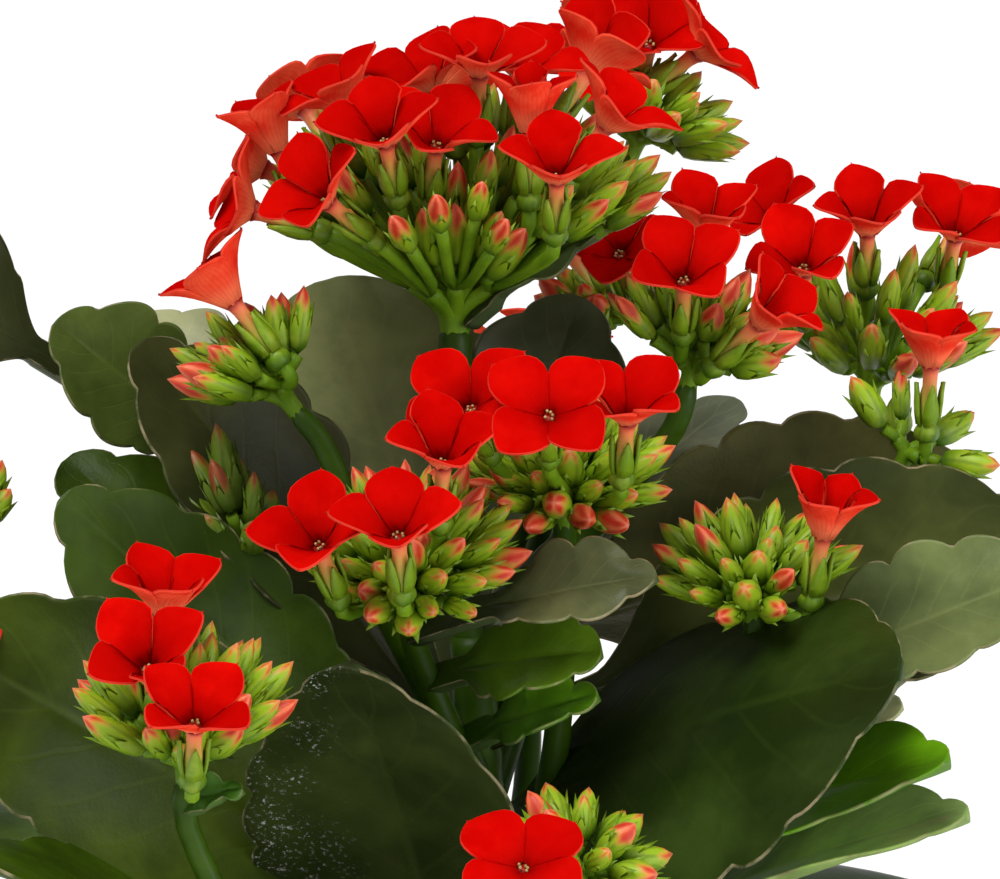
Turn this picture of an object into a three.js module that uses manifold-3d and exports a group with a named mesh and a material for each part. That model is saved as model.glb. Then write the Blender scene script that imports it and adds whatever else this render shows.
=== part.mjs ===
// A potted flaming katy (Kalanchoe blossfeldiana): a plain clay pot, its soil, one plant with
// fleshy crenate leaves on branching stems, and the heads of red flowers and buds that it carries.
// Millimetres, +Z up, origin at the middle of the pot's foot. -Y is the side that is looked at.
import * as THREE from 'three';
import { mergeVertices } from 'three/addons/utils/BufferGeometryUtils.js';
import Module from 'manifold-3d';

const wasm = await Module();
wasm.setup();

// Driving dimensions
const POT = {
  height: 100, rim: 61, rimHeight: 21, lip: 3, shoulder: 55, foot: 42, wall: 5, floor: 8, sides: 24,
};
const DRAIN = { radius: 5, out: 22, count: 3, sides: 8 };
const SOIL = { top: 92, crown: 94, hole: 5.4, holeFloor: 58, edge: 90 };
const STEM = { radius: 4.6, top: 2.6, foot: 58.4 };
const STALK = { root: 2, sides: 4, steps: 4 };
const LEAF = { petioleHalf: 1.7, petioleThick: 2.6, thick: 1.5, edge: 0.8, notch: 1.4, wave: 1.1 };
const FLOWER = { notch: 2.5, shoulder: 4.9, half: 4, tip: 8.5, thick: 0.7, tube: 7.5, tubeRadius: 1.2 };
const BUD = { length: 10, belly: 1.65, neck: 0.75, calyx: 1.5, sides: 4 };

// A head's buds stand on a dome that reaches this many degrees down from its top. One place in five
// has a bud. The branching middle is a share of the dome, and buds and calyces root in it.
const DOME = { sweep: 82, taken: 5, core: 0.42, root: 0.3, calyxRoot: 0.15, sides: 6 };

// The clear space round a piece, and a flower's height above the calyx that it stands on
const GAP = 0.3;
const SEAT = 0.36;
const GOLDEN = THREE.MathUtils.degToRad(137.508);

const RED = { color: 0xe0180f, roughness: 0.5, metalness: 0 };
const BUD_GREEN = { color: 0x7f9e2c, roughness: 0.5, metalness: 0 };
const LEAF_GREEN = { color: 0x35541c, roughness: 0.35, metalness: 0 };
const CLAY = { color: 0xb5663f, roughness: 0.9, metalness: 0 };
const PEAT = { color: 0x3a2a1d, roughness: 1, metalness: 0 };

// Flower heads. base is where the stalk divides, spread, rise and rim are the dome of bud tips, lean
// is the way the dome faces and buds how many would stand in it. Each flower is its throat, from the
// base, then the bearing and the height of the way it faces in degrees, its turn about that way, and
// how far it is still closed.
const HEADS = {
  crown: {
    base: [-3, 0, 216], spread: 25, rise: 27, rim: 13.5, lean: [0, 0, 1], buds: 84, thick: 2,
    flowers: [
      [-15, -20, 17, -142, 36, 40, 36], [-8, -20, 24, -106, 56, 22, 38], [-2, -15, 23, -78, 56, 55, 38],
      [12, -23, 20, -88, 56, 2, 40], [18, -11, 25, -25, 54, 30, 38], [3, -8, 31, -85, 66, 0, 36],
      [8, -1, 30, -60, 68, 40, 34], [-3, -4, 29, -140, 62, 30, 36], [9, -16, 25, -85, 82, 0, 62],
      [-13, -8, 27, -155, 58, 0, 36], [-21, -8, 22, -170, 66, 20, 56], [-23, -3, 19, 178, 24, 30, 26],
      [-24, -12, 15, -175, 18, 0, 24], [16, 4, 30, 30, 52, 0, 30], [-18, 9, 25, 130, 45, 30, 24],
      [-3, 19, 26, 95, 40, 10, 24],
    ],
  },
  crown_back: {
    base: [19, 32, 234], spread: 13, rise: 13, rim: 3, lean: [0.45, 0.1, 1], buds: 28, thick: 1.4,
    flowers: [
      [-5, -5, 12, -110, 34, 10, 28], [2, 1, 13, -75, 52, 40, 30], [8, 0, 12, -10, 38, 20, 26],
      [-1, 8, 15, 95, 50, 10, 25],
    ],
  },
  left_small: {
    base: [-22, -15, 208], spread: 9.5, rise: 16, rim: 8, lean: [-0.78, 0, 1], buds: 24, thick: 1.3,
    flowers: [[-7, -3, 13, 175, 52, 0, 48]],
  },
  right_mid: {
    base: [25, -5, 210], spread: 12, rise: 15, rim: 4, lean: [0.3, -0.1, 1], buds: 33, thick: 1.4,
    flowers: [[-1, -10, 13, -90, 54, 30, 38], [2, 3, 17, -80, 70, 20, 46], [8, -9, 8, -35, 42, 0, 50]],
  },
  right_back: {
    base: [15, 28, 211], spread: 10, rise: 12, rim: 4, lean: [0, 0.1, 1], buds: 20, thick: 1.3,
    flowers: [[2, -6, 11, -105, 46, 0, 32], [-4, 5, 10, 140, 45, 30, 25]],
  },
  right_high: {
    base: [48, 20, 205], spread: 15, rise: 18, rim: 6, lean: [0.1, -0.1, 1], buds: 24, thick: 1.5,
    flowers: [
      [-12, 4, 21, -130, 50, 20, 34], [-9, -14, 17, -95, 52, 30, 36], [-1, -7, 21, -92, 62, 15, 42],
      [10, -3, 20, -78, 58, 30, 36], [11, 9, 19, 50, 40, 30, 25],
    ],
  },
  right_tip: {
    base: [51, 3, 199], spread: 11, rise: 11, rim: 3, lean: [0.5, -0.1, 1], buds: 7, thick: 1.2,
    flowers: [[3, -4, 12.5, -75, 80, 40, 46]],
  },
  front_left: {
    base: [-8, -34, 189], spread: 14, rise: 13, rim: 6, lean: [0, -0.7, 1], buds: 38, thick: 1.4,
    flowers: [[-10, -16, 8, -112, 52, 8, 32], [-1, -21, 10, -95, 58, 6, 34], [4, -12, 17, -84, 62, 12, 40]],
  },
  front_mid: {
    base: [10, -22, 197], spread: 13, rise: 12, rim: 4, lean: [0, -0.5, 1], buds: 32, thick: 1.4,
    flowers: [
      [-11, -16, 14, -112, 44, 55, 26], [-2, -22, 14, -90, 42, 45, 20], [7, -17, 13, -82, 60, 45, 38],
    ],
  },
  front_right: {
    base: [32, -22, 185], spread: 13, rise: 13, rim: 4, lean: [0, -0.35, 1], buds: 30, thick: 1.4,
    flowers: [[8, -6, 10, -60, 72, 30, 56]],
  },
  low_left: {
    base: [-33, -55, 172], spread: 13, rise: 17, rim: 7, lean: [0, -0.2, 1], buds: 38, thick: 1.3,
    flowers: [[-2, -3, 19, -85, 72, 28, 44], [-3, -11, 13, -100, 48, 38, 34], [2, -19, 9, -84, 56, 47, 38]],
  },
  low_front: {
    base: [11, -56, 160], spread: 11, rise: 9, rim: 2, lean: [0.5, -0.4, 1], buds: 18, thick: 1.3,
    flowers: [[-6, -13, 4, -92, 48, 45, 10]],
  },
  behind_left: {
    base: [-27, -9, 187], spread: 6, rise: 18, rim: 4, lean: [-0.35, 0, 1], buds: 11, thick: 1.2,
    oneBody: true,
    flowers: [],
  },
  edge_left: {
    base: [-61, -8, 190], spread: 7, rise: 14, rim: 5, lean: [-0.2, -0.1, 1], buds: 14, thick: 1.3,
    oneBody: true,
    flowers: [[-6, 4, 9, 160, 45, 20, 30]],
  },
  edge_low: {
    base: [-68, -20, 172], spread: 9, rise: 10, rim: 3, lean: [-0.3, -0.3, 1], buds: 14, thick: 1.2,
    oneBody: true,
    flowers: [[7, -9, 7, -120, 40, 45, 28]],
  },
  rear_left: {
    base: [-30, 46, 186], spread: 14, rise: 14, rim: 4, lean: [-0.2, 0.3, 1], buds: 30, thick: 1.4,
    oneBody: true,
    flowers: [[-6, 12, 13, 120, 30, 0, 24], [-4, 0, 17, 160, 65, 15, 30]],
  },
  rear_mid: {
    base: [5, 56, 188], spread: 15, rise: 15, rim: 4, lean: [0, 0.4, 1], buds: 32, thick: 1.4,
    oneBody: true,
    flowers: [[-8, 12, 12, 110, 25, 20, 24], [4, 5, 18, 75, 60, 30, 30]],
  },
  rear_right: {
    base: [40, 50, 170], spread: 13, rise: 13, rim: 4, lean: [0.3, 0.3, 1], buds: 26, thick: 1.4,
    oneBody: true,
    flowers: [[8, 9, 11, 45, 30, 0, 24], [0, 4, 17, 100, 60, 40, 30]],
  },
  rear_low: {
    base: [-66, 26, 158], spread: 12, rise: 12, rim: 4, lean: [-0.5, 0.1, 1], buds: 24, thick: 1.3,
    oneBody: true,
    flowers: [[-9, 5, 10, 160, 25, 10, 24], [1, 5, 15, 100, 60, 0, 30]],
  },
};

// The stalk of each head: where it leaves a stem, and one point that it bends through
const STALKS = {
  crown: [[-1, 1, 174], [-3, 1, 192]],
  crown_back: [[0, 4, 152], [9, 34, 205]],
  left_small: [[-1, -1, 162], [-12, -15, 186]],
  right_mid: [[1, 2, 158], [12, 5, 188]],
  right_back: [[0, 2, 158], [8, 22, 188]],
  right_high: [[1, 2, 138], [34, 24, 174]],
  right_tip: [[33, 23, 173], [46, 16, 184]],
  front_left: [[1, -2, 122], [1, -24, 158]],
  front_mid: [[1, -2, 126], [9, -18, 168]],
  front_right: [[1, -1, 142], [16, -9, 162]],
  low_left: [[-1, -2, 106], [-17, -46, 134]],
  low_front: [[1, -2, 102], [7, -44, 134]],
  behind_left: [[-1, -1, 152], [-13, -7, 168]],
  edge_left: [[-1, 0, 122], [-44, -4, 156]],
  edge_low: [[-1, -1, 120], [-48, -20, 148]],
  rear_left: [[-1, 2, 138], [-18, 30, 164]],
  rear_mid: [[0, 2, 118], [6, 40, 156]],
  rear_right: [[1, 2, 124], [26, 34, 144]],
  rear_low: [[-1, 1, 132], [-44, 16, 149]],
};

// A side shoot without a head, on the left, which carries three leaves
const SHOOT = { points: [[-1, 1, 150], [-12, 6, 174], [-31, 8, 198]], radius: 1.6 };

// Leaves: root on a stem, tip, width, the way the upper face looks, how far the midrib arches, how
// far the edges lift (or fall, below 0), the lobes on each side, and the petiole's share of the length.
const LEAVES = [
  [[2, -13, 158], [48, -45, 182], 42, [0.02, -0.66, 0.75], 4, -5, 4, 0.06],
  [[16, -9, 163], [67, -29, 191], 17, [-0.1, -0.75, 0.6], 3, 3, 3, 0.46],
  [[-1, 2, 174], [60, 10, 196], 30, [0, -0.9, 0.43], 2, 4, 4, 0.2],
  [[1, -1, 166], [68, -6, 192], 30, [0, -0.88, 0.47], 5, 4, 4, 0.2],
  [[1, -1, 139], [54, -36, 170], 25, [0.1, -0.4, 0.9], 4, 2, 4, 0.25],
  [[1, 0, 130], [57, -27, 162], 24, [0.1, -0.3, 0.95], 4, 2, 4, 0.25],
  [[0, 1, 142], [51, 2, 170], 20, [0, -0.3, 0.95], 3, 3, 3, 0.3],
  [[-31, 8, 198], [-80, 2, 229], 23, [0.1, -0.7, 0.7], 0, 3, 3, 0.45],
  [[-30, 7, 197], [-51, 2, 216], 17, [0.3, -0.85, 0.4], 1, 2, 3, 0.2],
  [[-31, 10, 197], [-44, 25, 214], 18, [0, -0.6, 0.8], 2, 2, 2, 0.2],
  [[0, 1, 158], [-41, -3, 214], 25, [0.62, -0.7, 0.3], 3, 3, 4, 0.25],
  [[0, -1, 144], [-49, -19, 198], 23, [-0.1, -0.8, 0.6], 4, 2, 4, 0.3],
  [[0, 2, 146], [-51, 20, 197], 24, [-0.1, -0.7, 0.7], 4, 2, 3, 0.3],
  [[0, -1, 137], [-64, -34, 184], 32, [-0.15, -0.85, 0.5], 5, 3, 4, 0.2],
  [[0, -2, 114], [-56, -58, 163], 30, [-0.15, -0.4, 0.9], 6, 2, 4, 0.25],
  [[0, -2, 113], [-15, -46, 182], 38, [-0.35, -0.9, 0.2], -3, 3, 4, 0.12],
  [[-1, 2, 167], [-19, 21, 219], 36, [0.1, -0.85, 0.5], 4, 4, 4, 0.2],
  [[-1, 1, 181], [12, 12, 218], 20, [0, -0.85, 0.5], 2, 2, 3, 0.25],
  [[-8, -31, 184], [20, -46, 193], 11, [0.05, -0.75, 0.65], 1.5, 1.5, 3, 0.32],
  [[-6, -29, 178], [14, -39, 183], 13, [0.05, -0.75, 0.65], 1.5, 1.5, 3, 0.2],
  [[-3, -27, 170], [13.5, -36, 177.5], 9, [0.1, -0.7, 0.7], 1, 1, 2, 0.25],
  [[-1, 2, 178], [32, 30, 203], 16, [0, -0.5, 0.85], 2, 2, 2, 0.3],
  [[0, 1, 128], [-32, 70, 152], 38, [-0.1, 0.3, 0.95], 8, -3, 3, 0.2],
  [[1, 1, 128], [60, 52, 136], 34, [0.3, 0.1, 0.95], 8, -3, 3, 0.2],
  [[0, 1, 134], [-76, 30, 152], 34, [-0.3, 0.1, 0.95], 8, -3, 3, 0.2],
  [[0, 2, 150], [-8, 62, 188], 32, [0, -0.3, 0.95], 6, 3, 3, 0.2],
];

// The lower leaves stand round the stem by the golden angle and arch out over the pot's rim
const LOWER = {
  count: 7, firstHeight: 101, step: 2.2, reach: 84, shorter: 1.1, width: 38, droop: 3, arch: 12, turn: 0.6,
};

// The narrow leaf where the crown's stalk divides: root and tip from the head's base
const BRACT = { root: [1, -1, 1], tip: [17, -7, 12], width: 6, face: [-0.3, -0.6, 0.7], arch: 1, lobes: 2 };

const vec = (p) => new THREE.Vector3(...p);
const turned = (degrees) => THREE.MathUtils.degToRad(degrees);

// An even spread of numbers from 0 to 1 that is the same each time
function draw(index, salt) {
  const value = Math.sin(index * 12.9898 + salt * 78.233) * 43758.5453;
  return value - Math.floor(value);
}

// Three directions square to each other: sideways, up the leaf or flower's face, and out of it
function frameFacing(out, up) {
  const side = new THREE.Vector3().crossVectors(up, out).normalize();
  const rise = new THREE.Vector3().crossVectors(out, side).normalize();
  return new THREE.Matrix4().makeBasis(side, rise, out);
}

// Solids
function solid(geometry) {
  const bare = geometry.clone();
  bare.deleteAttribute('normal');
  bare.deleteAttribute('uv');
  const joined = mergeVertices(bare, 1e-4);
  return new wasm.Manifold(new wasm.Mesh({
    numProp: 3,
    vertProperties: new Float32Array(joined.attributes.position.array),
    triVerts: new Uint32Array(joined.index.array),
  }));
}

function fuse(parts) {
  return parts.reduce((whole, part) => whole.add(part));
}

function geometryOf(body) {
  const mesh = body.getMesh();
  const geometry = new THREE.BufferGeometry();
  geometry.setAttribute('position', new THREE.BufferAttribute(new Float32Array(mesh.vertProperties), 3));
  geometry.setIndex(new THREE.BufferAttribute(new Uint32Array(mesh.triVerts), 1));
  geometry.computeVertexNormals();
  return geometry;
}

function facets(points, triangles) {
  const geometry = new THREE.BufferGeometry();
  geometry.setAttribute('position', new THREE.Float32BufferAttribute(points.flatMap((p) => p.toArray()), 3));
  geometry.setIndex(triangles.flat());
  return geometry;
}

function piecesBySize(body) {
  return body.decompose().sort((a, b) => b.volume() - a.volume());
}

function boxesMeet(a, b) {
  const p = a.boundingBox();
  const q = b.boundingBox();
  return [0, 1, 2].every((i) => p.min[i] < q.max[i] && q.min[i] < p.max[i]);
}

// A stalk is a chain of rings along a smooth curve
function stalk(points, startRadius, endRadius, sides, steps) {
  const curve = new THREE.CatmullRomCurve3(points);
  const rings = [];
  for (let i = 0; i <= steps; i++) {
    const t = i / steps;
    const radius = THREE.MathUtils.lerp(startRadius, endRadius, t);
    const basis = frameFacing(curve.getTangentAt(t), new THREE.Vector3(0.3, -1, 0));
    for (let k = 0; k < sides; k++) {
      const turn = (2 * Math.PI * k) / sides;
      rings.push(new THREE.Vector3(radius * Math.cos(turn), radius * Math.sin(turn), 0)
        .applyMatrix4(basis).add(curve.getPointAt(t)));
    }
  }
  const last = steps * sides;
  const triangles = [];
  for (let k = 0; k < sides; k++) {
    const next = (k + 1) % sides;
    for (let i = 0; i < last; i += sides) {
      triangles.push([i + k, i + next, i + sides + next], [i + k, i + sides + next, i + sides + k]);
    }
    if (k > 0 && k < sides - 1) {
      triangles.push([0, k + 1, k], [last, last + k, last + k + 1]);
    }
  }
  return facets(rings, triangles);
}

// Pot, soil and leaves
function lathe(profile, sides) {
  return new THREE.LatheGeometry(profile.map((p) => new THREE.Vector2(...p)), sides).rotateX(Math.PI / 2);
}

function potBody() {
  const { height, rim, rimHeight, lip, shoulder, foot, wall, floor, sides } = POT;
  const step = height - rimHeight;
  let pot = solid(lathe([
    [0, 0], [foot - 1, 0], [foot, 1], [shoulder, step], [rim - 1.5, step], [rim, height - lip],
    [rim - 1, height], [rim - wall, height], [shoulder - wall, step - 2], [foot - wall, floor], [0, floor],
  ], sides));
  for (let i = 0; i < DRAIN.count; i++) {
    const turn = (2 * Math.PI * i) / DRAIN.count;
    const hole = new THREE.CylinderGeometry(DRAIN.radius, DRAIN.radius, 4 * floor, DRAIN.sides);
    hole.rotateX(Math.PI / 2).translate(DRAIN.out * Math.cos(turn), DRAIN.out * Math.sin(turn), 0);
    pot = pot.subtract(solid(hole));
  }
  return pot;
}

function soilBody() {
  const { shoulder, foot, wall, floor, height, rimHeight, rim, sides } = POT;
  const step = height - rimHeight - 2;
  const slope = (rim - shoulder) / (height - step);
  const atEdge = shoulder - wall + slope * (SOIL.edge - step);
  return solid(lathe([
    [0, floor + GAP], [foot - wall - 2 * GAP, floor + GAP], [shoulder - wall - 2 * GAP, step],
    [atEdge - 3 * GAP, SOIL.edge], [atEdge * 0.6, SOIL.top], [SOIL.hole, SOIL.crown],
    [SOIL.hole, SOIL.holeFloor], [0, SOIL.holeFloor],
  ], sides));
}

// Half the width of a blade, as a share of its widest, at s from its foot to its tip
function bladeShape(s) {
  return (Math.sin(Math.PI * s ** 1.1) ** 0.55) * Math.min(1, 0.35 + 3.5 * s);
}

function leafGeometry(root, tip, width, face, arch, lift, lobes, petiole, salt) {
  const along = tip.clone().sub(root);
  const length = along.length();
  along.normalize();
  const out = face.clone().addScaledVector(along, -face.dot(along)).normalize();
  const side = new THREE.Vector3().crossVectors(along, out);
  const rows = [[0, LEAF.petioleHalf, 0], [petiole, LEAF.petioleHalf, 0]];
  const count = 2 * lobes;
  for (let j = 1; j <= count; j++) {
    const s = j / (count + 1);
    const cut = j % 2 ? 0 : LEAF.notch * Math.min(1, 2.2 * s);
    rows.push([petiole + (1 - petiole) * s, (width / 2) * bladeShape(s) - cut, s]);
  }
  rows.push([1, width * 0.12, 1]);
  const upper = [];
  const under = [];
  for (const [t, half, s] of rows) {
    const middle = root.clone().addScaledVector(along, t * length)
      .addScaledVector(out, arch * 4 * t * (1 - t));
    const slope = Math.atan((arch * 4 * (1 - 2 * t)) / length);
    const normal = out.clone().multiplyScalar(Math.cos(slope)).addScaledVector(along, -Math.sin(slope));
    for (const q of [-1, 0, 1]) {
      const share = (2 * half) / width;
      const wave = q === 0 || s === 0 ? 0 : LEAF.wave * Math.sin(7 * s + 6.28 * draw(salt, 1 + q));
      const point = middle.clone().addScaledVector(side, q * half)
        .addScaledVector(normal, lift * q * q * share * share + wave * share);
      const thick = s === 0 ? LEAF.petioleThick : THREE.MathUtils.lerp(LEAF.thick, LEAF.edge, q * q);
      upper.push(point);
      under.push(point.clone().addScaledVector(normal, -thick));
    }
  }
  const n = upper.length;
  const last = n - 3;
  const triangles = [];
  const quad = (a, b, c, d) => triangles.push([a, b, c], [a, c, d]);
  for (let i = 0; i < last; i += 3) {
    quad(i, i + 1, i + 4, i + 3);
    quad(i + 1, i + 2, i + 5, i + 4);
    triangles.push([n + i, n + i + 4, n + i + 1], [n + i, n + i + 3, n + i + 4]);
    triangles.push([n + i + 1, n + i + 5, n + i + 2], [n + i + 1, n + i + 4, n + i + 5]);
    quad(i, i + 3, n + i + 3, n + i);
    quad(i + 5, i + 2, n + i + 2, n + i + 5);
  }
  quad(1, 0, n, n + 1);
  quad(2, 1, n + 1, n + 2);
  quad(last, last + 1, n + last + 1, n + last);
  quad(last + 1, last + 2, n + last + 2, n + last + 1);
  return facets([...upper, ...under], triangles);
}

function lowerLeaf(index) {
  const turn = index * GOLDEN + LOWER.turn;
  const way = new THREE.Vector3(Math.cos(turn), Math.sin(turn), 0);
  const height = LOWER.firstHeight + index * LOWER.step;
  const reach = LOWER.reach - LOWER.shorter * index + 8 * (draw(index, 3) - 0.5);
  const root = way.clone().multiplyScalar(1.5).setZ(height);
  const rise = 8 + 1.6 * index + 8 * draw(index, 4);
  const tip = way.clone().multiplyScalar(reach).setZ(height + rise);
  const face = way.clone().multiplyScalar(0.15 + 0.2 * draw(index, 5)).setZ(1);
  return leafGeometry(root, tip, LOWER.width - 0.5 * index, face, LOWER.arch, -LOWER.droop, 3, 0.2, index);
}

// Flowers and buds
function flowerGeometry(closed, grow) {
  const angle = turned(closed);
  const hinge = 1;
  const thick = FLOWER.thick / 2 + grow;
  const narrowing = 1 - closed / 220;
  const points = [];
  const add = (reach, across, raise, turn, depth) => {
    const out = hinge + (reach - hinge) * Math.cos(angle) - (raise + depth) * Math.sin(angle);
    const high = (reach - hinge) * Math.sin(angle) + (raise + depth) * Math.cos(angle);
    const half = THREE.MathUtils.clamp(across * narrowing, -0.9 * out, 0.9 * out);
    points.push(new THREE.Vector3(out, half, high).applyAxisAngle(new THREE.Vector3(0, 0, 1), turn));
    return points.length - 1;
  };
  const layer = (depth) => [0, 1, 2, 3].map((k) => {
    const turn = (k * Math.PI) / 2;
    const notch = new THREE.Vector3(FLOWER.notch + 1.4 * grow, 0, depth);
    points.push(notch.applyAxisAngle(new THREE.Vector3(0, 0, 1), turn - Math.PI / 4));
    return {
      notch: points.length - 1,
      left: add(FLOWER.shoulder + grow, -FLOWER.half - grow, 0.5, turn, depth),
      tip: add(FLOWER.tip + 1.5 * grow, 0, 0.2, turn, depth),
      right: add(FLOWER.shoulder + grow, FLOWER.half + grow, 0.5, turn, depth),
    };
  });
  const top = layer(thick);
  const below = layer(-thick);
  points.push(new THREE.Vector3(0, 0, thick - 0.6));
  const throat = points.length - 1;
  const ring = (radius, z) => [0, 1, 2, 3].map((k) => {
    const turn = ((k - 0.5) * Math.PI) / 2;
    points.push(new THREE.Vector3(radius * Math.cos(turn), radius * Math.sin(turn), z));
    return points.length - 1;
  });
  const neck = ring(FLOWER.tubeRadius * 0.9 + grow, -thick - 0.9);
  const foot = ring(FLOWER.tubeRadius + grow, -FLOWER.tube - grow);
  const triangles = [[foot[2], foot[1], foot[0]], [foot[3], foot[2], foot[0]]];
  for (let k = 0; k < 4; k++) {
    const next = (k + 1) % 4;
    const upper = [top[k].notch, top[k].left, top[k].tip, top[k].right, top[next].notch];
    const lower = [below[k].notch, below[k].left, below[k].tip, below[k].right, below[next].notch];
    triangles.push([neck[k], foot[k], foot[next]], [neck[k], foot[next], neck[next]]);
    triangles.push([neck[k], neck[next], lower[2]]);
    for (let e = 0; e < 4; e++) {
      triangles.push([throat, upper[e], upper[e + 1]]);
      triangles.push([e < 2 ? neck[k] : neck[next], lower[e + 1], lower[e]]);
      triangles.push([upper[e], lower[e], lower[e + 1]], [upper[e], lower[e + 1], upper[e + 1]]);
    }
  }
  return facets(points, triangles);
}

function flowerPlace(head, flower) {
  const [x, y, z, bearing, height, turn, closed] = flower;
  const level = Math.cos(turned(height));
  const out = new THREE.Vector3(
    level * Math.cos(turned(bearing)), level * Math.sin(turned(bearing)), Math.sin(turned(height)),
  );
  const throat = vec(head.base).add(new THREE.Vector3(x, y, z));
  const up = height > 80 ? new THREE.Vector3(0, 1, 0) : new THREE.Vector3(0, 0, 1);
  const foot = throat.clone().addScaledVector(out, -FLOWER.tube);
  return { throat, out, up, turn: turned(turn), closed, foot };
}

function flowerBody(place, grow) {
  const geometry = flowerGeometry(place.closed, grow);
  geometry.rotateZ(place.turn);
  geometry.applyMatrix4(frameFacing(place.out, place.up));
  return solid(geometry.translate(...place.throat.toArray()));
}

// A four-sided spindle from one point to another, given as shares of its length and radii
function spindle(from, tip, profile) {
  const along = tip.clone().sub(from);
  const geometry = lathe(profile, BUD.sides);
  geometry.rotateZ(along.length());
  const upright = new THREE.Vector3(0, 0, 1);
  geometry.applyQuaternion(new THREE.Quaternion().setFromUnitVectors(upright, along.normalize()));
  return solid(geometry.translate(from.x, from.y, from.z));
}

// A bud on its own short stalk, widest at the calyx
function budBody(from, tip, size, grow) {
  const length = from.distanceTo(tip);
  const bud = Math.min(BUD.length * size, length * 0.85);
  return spindle(from, tip, [
    [0, 0], [BUD.neck + grow, 0], [BUD.belly * size + grow, length - bud * 0.6], [0, length + 1.5 * grow],
  ]);
}

// The calyx that a flower's tube stands on
function calyxBody(from, foot, grow) {
  const length = from.distanceTo(foot) - SEAT;
  return spindle(from, foot, [
    [0, 0], [BUD.neck + grow, 0], [BUD.calyx + grow, length - 1.5], [0, length + grow],
  ]);
}

// The dome of a head: a point at a turn round its axis and an angle down from its top
function domePoint(head, down, turn, share) {
  const lean = vec(head.lean).normalize();
  const way = new THREE.Vector3(
    head.spread * Math.sin(down) * Math.cos(turn),
    head.spread * Math.sin(down) * Math.sin(turn),
    (head.rise - head.rim) * Math.cos(down) + head.rim,
  ).multiplyScalar(share);
  way.applyQuaternion(new THREE.Quaternion().setFromUnitVectors(new THREE.Vector3(0, 0, 1), lean));
  return way.add(vec(head.base));
}

// A bud may not stand in front of a flower, through its petals or against its tube
function isClear(from, tip, flowers) {
  return flowers.every(({ throat, out }) => [0.4, 0.52, 0.64, 0.76, 0.88, 1].every((share) => {
    const place = from.clone().lerp(tip, share).sub(throat);
    const ahead = place.dot(out);
    const aside = place.addScaledVector(out, -ahead).length();
    return !(aside < 8.6 && ahead > -2 && ahead < 4.6) && !(aside < 5 && ahead > 0 && ahead < 9)
      && !(aside < 3.4 && ahead < 0 && ahead > -FLOWER.tube - 2);
  }));
}

function budPlaces(head, flowers) {
  const places = [];
  for (let k = 0; k < head.buds; k++) {
    const down = turned(DOME.sweep) * Math.sqrt((k + 0.5) / head.buds);
    const size = 0.75 + 0.4 * draw(k, head.spread);
    const from = domePoint(head, down, k * GOLDEN, DOME.root);
    const extra = 0.1 * draw(k, head.rise);
    const heights = [1, 0.86, 0.72].map((share) => domePoint(head, down, k * GOLDEN, share + extra));
    const tip = heights.find((place) => isClear(from, place, flowers));
    if (tip) {
      places.push({ from, tip, size });
    }
  }
  return places;
}

function headPlan(head) {
  const flowers = head.flowers.map((flower) => flowerPlace(head, flower));
  return { head, flowers, buds: budPlaces(head, flowers) };
}

// The branching middle of a head, from the end of its stalk to the roots of the buds
function coreBody(head, grow) {
  const lean = vec(head.lean).normalize();
  const { core: share, sides } = DOME;
  const wide = head.spread * share + grow;
  const geometry = lathe([
    [0, SEAT - grow], [head.thick + grow, SEAT - grow], [wide, head.rim * share + 0.5],
    [wide * 0.8, (head.rim + 0.6 * (head.rise - head.rim)) * share + grow], [0, head.rise * share + grow],
  ], sides);
  geometry.applyQuaternion(new THREE.Quaternion().setFromUnitVectors(new THREE.Vector3(0, 0, 1), lean));
  return solid(geometry.translate(...head.base));
}

function headBody(name, plan, grow) {
  const { head, flowers, buds } = plan;
  const base = vec(head.base);
  const parts = [coreBody(head, grow)];
  for (const [k, { from, tip, size }] of buds.entries()) {
    if (k % DOME.taken === 0) {
      parts.push(budBody(from, tip, size, grow));
    }
  }
  for (const flower of flowers) {
    parts.push(calyxBody(base.clone().lerp(flower.foot, DOME.calyxRoot), flower.foot, grow));
    if (head.oneBody) {
      const sunk = { ...flower, throat: flower.throat.clone().addScaledVector(flower.out, -2 * SEAT) };
      parts.push(flowerBody(sunk, grow));
    }
  }
  if (name === 'crown') {
    const { root, tip, width, face, arch, lobes } = BRACT;
    const from = base.clone().add(vec(root));
    const to = base.clone().add(vec(tip));
    parts.push(solid(leafGeometry(from, to, width, vec(face), arch, 0, lobes, 0.2, 1)));
  }
  return fuse(parts);
}

// The plant: its stem, the stalks and all the leaves
function plantBody() {
  const stemPoints = [[0, 0, STEM.foot], [0, 0, 100], [1, 1, 136], [-1, 1, 178]].map(vec);
  const parts = [solid(stalk(stemPoints, STEM.radius, STEM.top, 7, 7))];
  for (const [name, [root, bend]] of Object.entries(STALKS)) {
    const end = vec(HEADS[name].base);
    const before = end.clone().addScaledVector(vec(HEADS[name].lean).normalize(), -6);
    const points = [vec(root), vec(bend), before, end];
    parts.push(solid(stalk(points, STALK.root, HEADS[name].thick, STALK.sides, STALK.steps)));
  }
  const shoot = SHOOT.points.map(vec);
  parts.push(solid(stalk(shoot, STALK.root, SHOOT.radius, STALK.sides, STALK.steps)));
  for (const [index, [root, tip, width, face, ...shape]] of LEAVES.entries()) {
    parts.push(solid(leafGeometry(vec(root), vec(tip), width, vec(face), ...shape, index)));
  }
  for (let index = 0; index < LOWER.count; index++) {
    parts.push(solid(lowerLeaf(index)));
  }
  return fuse(parts);
}

// The whole, with each piece cleared of the ones before it
const bodies = [];
function settle(name, look, body, grown) {
  let cleared = body;
  for (const other of bodies) {
    if (boxesMeet(cleared, other.grown)) {
      cleared = cleared.subtract(other.grown);
    }
  }
  bodies.push({ name, look, body: piecesBySize(cleared)[0].simplify(0.02), grown });
}

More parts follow.
